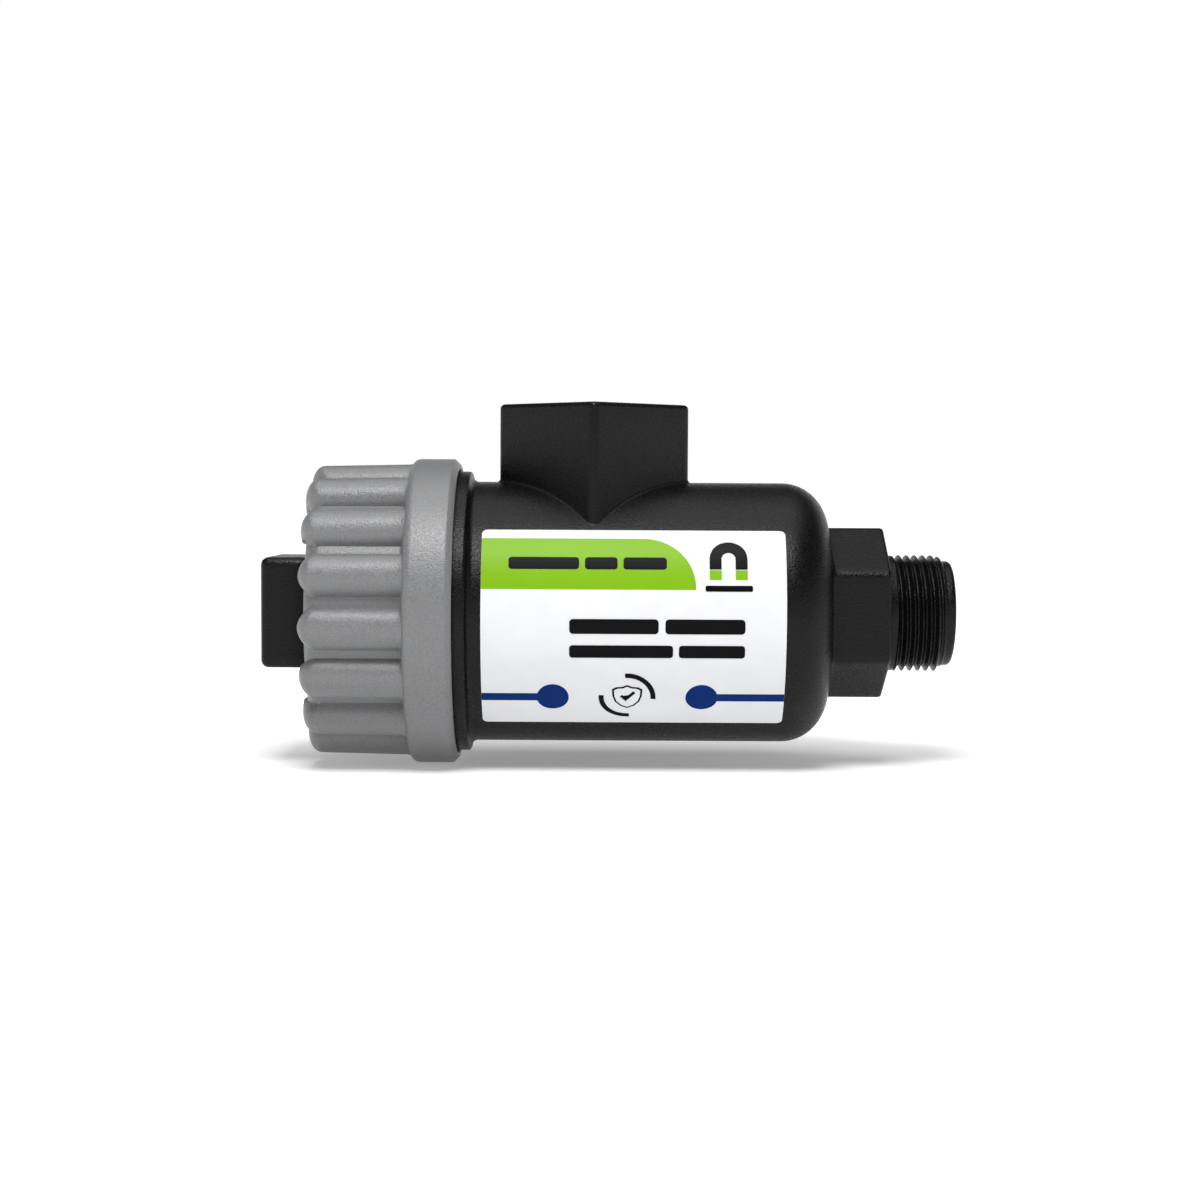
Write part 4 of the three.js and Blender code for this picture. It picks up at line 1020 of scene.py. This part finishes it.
def screen():
    """Crossed wires: long ones outside and hoops inside, each a square bar."""
    low, high = edges("strainer_screen")
    points, faces = [], []

    def bar(rings, closed):
        base = len(points)
        for row in rings:
            points.extend(row)
        made = loft_faces(len(rings), len(rings[0]), closed)
        faces.extend(tuple(base + i for i in face) for face in made)

    hoops = int((high.x - low.x) / WIRE_PITCH)
    hoop_angles = turn_angles(96)
    hoop_r0, hoop_r1 = SCREEN_R - 2 * WIRE_SIDE, SCREEN_R - 0.9 * WIRE_SIDE
    for k in range(hoops + 1):
        x = low.x + (high.x - low.x - WIRE_SIDE) * k / hoops
        section = [(x, hoop_r0), (x, hoop_r1), (x + WIRE_SIDE, hoop_r1), (x + WIRE_SIDE, hoop_r0)]
        bar([ring.tolist() for ring in turned_rings(section, hoop_angles)], True)
    longs = int(2 * math.pi * SCREEN_R / WIRE_PITCH)
    half = WIRE_SIDE / 2 / SCREEN_R
    inner = SCREEN_R - WIRE_SIDE
    for k in range(longs):
        a = 2 * math.pi * k / longs
        corners = [(inner, a - half), (SCREEN_R, a - half), (SCREEN_R, a + half), (inner, a + half)]
        rows = []
        for x in (low.x, high.x):
            rows.append([(x, r * math.cos(b), r * math.sin(b) + AXIS_Z) for r, b in corners])
        bar(rows, False)
    made = new_object("strainer_wires", np.array(points), faces, WIRE)
    placed(made, "cartridge", "stainless", "strainer_screen")


def end_cap():
    spigot_r = 12.8
    bore_r = 9.7
    plate_x1 = CAP_LOW.x + 2
    outline = [(CAP_LOW.x, bore_r), (CAP_LOW.x, CAGE_R), (plate_x1, CAGE_R), (plate_x1, spigot_r)]
    outline += groove("strainer_o_ring", 1, 11.4, spigot_r)
    outline += [(CAP_HIGH.x, spigot_r), (CAP_HIGH.x, bore_r)]
    made = turned("strainer_end_cap_moulded", softened(outline, 0.4), BLACK, 144)
    placed(made, "cartridge", "black_nylon", "strainer_end_cap")


# ---- Magnet core -------------------------------------------------------------------------------


def knob():
    """The square block that the fingers hold, and the round plug behind it."""
    angles = turn_angles(160)
    x0, x1 = KNOB_LOW.x, COVER_LOW.x - 0.3

    def square(x, shrink):
        corner = max(KNOB_CORNER - shrink, 0.4)
        radius = polygon_radius(angles, 4, KNOB_SIDE - 2 * shrink, corner, math.pi / 4)
        return around_x(x, radius, angles)

    face = square(x0, KNOB_BEVEL)
    middle = np.array([x0, 0, AXIS_Z])
    rings = [middle + (face - middle) * share for share in (0.03, 0.5, 1)]
    for a in np.radians(np.linspace(15, 90, 6)):
        rings.append(square(x0 + KNOB_BEVEL * (1 - math.cos(a)), KNOB_BEVEL * (1 - math.sin(a))))
    back_x = x1 - KNOB_BACK_BEVEL
    rings.append(square(back_x, 0))
    for a in np.radians(np.linspace(30, 90, 3)):
        x = back_x + KNOB_BACK_BEVEL * math.sin(a)
        rings.append(square(x, KNOB_BACK_BEVEL * (1 - math.cos(a))))
    neck_x1, neck_r = POCKET_LOW.x - 0.3, 11
    plug_r, rod_hole_r, chamfer = 9.9, 2.8, 0.3
    plug = [(x1, neck_r + 0.2), (x1 + 0.01, neck_r), (neck_x1, neck_r), (neck_x1, plug_r)]
    plug += groove("knob_o_ring", 0.9, 8.6, plug_r)
    plug += [(KNOB_HIGH.x - chamfer, plug_r), (KNOB_HIGH.x, plug_r - chamfer)]
    rings += turned_rings(plug + [(KNOB_HIGH.x, rod_hole_r)], angles)
    made = loft("magnet_knob_moulded", rings, BLACK, closed=False)
    placed(made, "magnet_core", "black_nylon", "magnet_knob")


def magnet_stack():
    """Magnets and pole pieces in turn. Their edges are rounded, and the rod passes through them."""
    kinds = (
        ("magnet_", NICKEL, "magnet_nickel", 0.5),
        ("pole_piece_", TURNED_STEEL, "pole_steel", 0.25),
    )
    bore_r = 2.8
    for kind, material, slot, soft in kinds:
        for node in sorted(name for name in frame["nodes"] if name.startswith(kind)):
            if not node[-1].isdigit():
                continue
            low, high = edges(node)
            outer = (high.z - low.z) / 2
            outline = [(low.x, bore_r), (low.x, outer), (high.x, outer), (high.x, bore_r)]
            made = turned(f"{node}_turned", softened(outline, soft), material, 96)
            placed(made, "magnet_core", slot, node)


def rod():
    """The tie rod, with a rolled M5 thread at its free end."""
    angles = turn_angles(64)
    radius, pitch, depth, chamfer = 2.5, 0.8, 0.4, 0.3
    x0, x1 = ROD_LOW.x, ROD_HIGH.x
    thread_x0 = x1 - 9
    plain = [(x0, radius - chamfer), (x0 + chamfer, radius), (thread_x0 - 0.1, radius)]
    rings = turned_rings(plain, angles)
    for x in np.arange(thread_x0, x1 - 0.5, pitch / 8):
        thread = thread_radius(x, angles, radius - depth, radius, pitch, phase_x=x1)
        rings.append(around_x(x, thread, angles))
    rings += turned_rings([(x1 - 0.4, radius - depth), (x1, radius - 2 * depth)], angles)
    made = loft("core_rod_threaded", rings, TURNED_STEEL, closed=False)
    placed(made, "magnet_core", "stainless", "core_rod")


def rod_nut():
    angles = turn_angles(96)
    low, high = edges("core_rod_nut")
    flats, corner, reach = 8, 0.3, 4.55
    bore_r, chamfer, chamfer_length = 2.55, 0.5, 0.3

    def hexagon(x, cut):
        radius = polygon_radius(angles, 6, flats, corner)
        return around_x(x, np.minimum(radius, reach - cut), angles)

    rings = [around_x(low.x, bore_r, angles), hexagon(low.x, chamfer)]
    rings += [hexagon(low.x + chamfer_length, 0), hexagon(high.x - chamfer_length, 0)]
    rings += [hexagon(high.x, chamfer), around_x(high.x, bore_r, angles)]
    made = loft("core_rod_nut_turned", rings, SPRING_STEEL)
    placed(made, "magnet_core", "stainless", "core_rod_nut")


def gasket():
    angles = turn_angles(96)
    clearance = 0.3
    inner, outer = INLET_PASSAGE_R - clearance, PIPE_MINOR_R - clearance
    low_z, high_z = GASKET_LOW.z, GASKET_HIGH.z
    outline = softened([(low_z, outer), (high_z, outer), (high_z, inner), (low_z, inner)], 0.25)
    rings = [around_z(z, r, angles) for z, r in outline]
    made = loft("inlet_gasket_cut", rings, RUBBER, smooth_angle=60)
    placed(made, "housing", "rubber", "inlet_gasket")


# ---- Floor, light and camera -------------------------------------------------------------------

FLOOR_Z = NUT_LOW.z * MM
CAMERA_TARGET = Vector((0.0015, 0, -0.0444))
CAMERA_DISTANCE = 0.502
CAMERA_ELEVATION = math.radians(3)
CAMERA_ROLL = math.radians(0.3)
CAMERA_LENS = 66
WALL = 1.0
CEILING = 0.08
WALL_TOP = math.radians(12)
WALL_FADE = math.radians(24)
FLOOR_REACH = 6
FLOOR_GLOW_END = 0.36


def camera():
    data = bpy.data.cameras.new("camera")
    data.lens = CAMERA_LENS
    data.sensor_width = 36
    made = add_object("camera", data)
    back = Vector((0, -math.cos(CAMERA_ELEVATION), math.sin(CAMERA_ELEVATION)))
    place = Matrix.Translation(CAMERA_TARGET + back * CAMERA_DISTANCE)
    look = (-back).to_track_quat("-Z", "Y").to_matrix().to_4x4()
    made.matrix_world = place @ look @ Matrix.Rotation(CAMERA_ROLL, 4, "Z")
    bpy.context.scene.camera = made


def softbox(name, place, target, size, power):
    data = bpy.data.lights.new(name, "AREA")
    data.shape = "RECTANGLE"
    data.size, data.size_y = size
    data.energy = power
    made = add_object(name, data)
    place = Vector(place)
    look = (Vector(target) - place).to_track_quat("-Z", "Y").to_matrix().to_4x4()
    made.matrix_world = Matrix.Translation(place) @ look


def floor():
    """A matt white sheet. It glows more with distance, so that it meets the wall without a line.
    Near the filter the glow is painted light: it lightens the shadow cast on the floor.
    """
    turns = ((-1, -1), (1, -1), (1, 1), (-1, 1))
    corners = [(FLOOR_REACH * x, FLOOR_REACH * y, FLOOR_Z) for x, y in turns]
    mesh = bpy.data.meshes.new("floor")
    mesh.from_pydata(corners, [], [(0, 1, 2, 3)])
    made = add_object("floor", mesh)
    shader = Shader("floor", (0.86, 0.86, 0.86), 0.9, Specular_IOR_Level=0.0)
    distance = shader.nodes.new("ShaderNodeVectorMath")
    distance.operation = "LENGTH"
    shader.links.new(shader.coordinates, distance.inputs[0])
    # painted light: the floor's glow starts at the filter and thins the shadow cast under it
    shadow_lifting_glow = shader.ramp(distance.outputs["Value"], 0, 1, span=(0, FLOOR_GLOW_END))
    shader.base.inputs["Emission Color"].default_value = (WALL, WALL, WALL, 1)
    shader.links.new(shadow_lifting_glow, shader.base.inputs["Emission Strength"])
    mesh.materials.append(shader.material)


def world():
    """White round the horizon, as a studio's walls are, and dim overhead."""
    made = bpy.data.worlds.new("world")
    made.use_nodes = True
    nodes, links = made.node_tree.nodes, made.node_tree.links
    direction = nodes.new("ShaderNodeTexCoord").outputs["Generated"]
    height = nodes.new("ShaderNodeSeparateXYZ")
    links.new(direction, height.inputs["Vector"])
    fade = nodes.new("ShaderNodeMapRange")
    fade.interpolation_type = "SMOOTHSTEP"
    fade.inputs["From Min"].default_value = math.sin(WALL_TOP)
    fade.inputs["From Max"].default_value = math.sin(WALL_FADE)
    fade.inputs["To Min"].default_value = WALL
    fade.inputs["To Max"].default_value = CEILING
    links.new(height.outputs["Z"], fade.inputs["Value"])
    links.new(fade.outputs["Result"], nodes["Background"].inputs["Strength"])
    nodes["Background"].inputs["Color"].default_value = (1, 1, 1, 1)
    bpy.context.scene.world = made


def light():
    aim = (0, 0, -0.045)
    softbox("key", (-0.03, -0.3, 0.4), aim, (0.22, 0.2), 2.7)
    softbox("top", (0.0, 0.02, 0.5), aim, (0.6, 0.5), 1.7)


bpy.context.scene.view_settings.view_transform = "Standard"
camera()
world()
light()
floor()
housing()
union_nut()
label()
gasket()
cover()
pocket()
washer()
snap_ring()
cage()
screen()
end_cap()
for ring in ("cover_o_ring", "pocket_o_ring", "strainer_o_ring"):
    o_ring(ring, "cartridge")
o_ring("knob_o_ring", "magnet_core")
knob()
magnet_stack()
rod()
rod_nut()
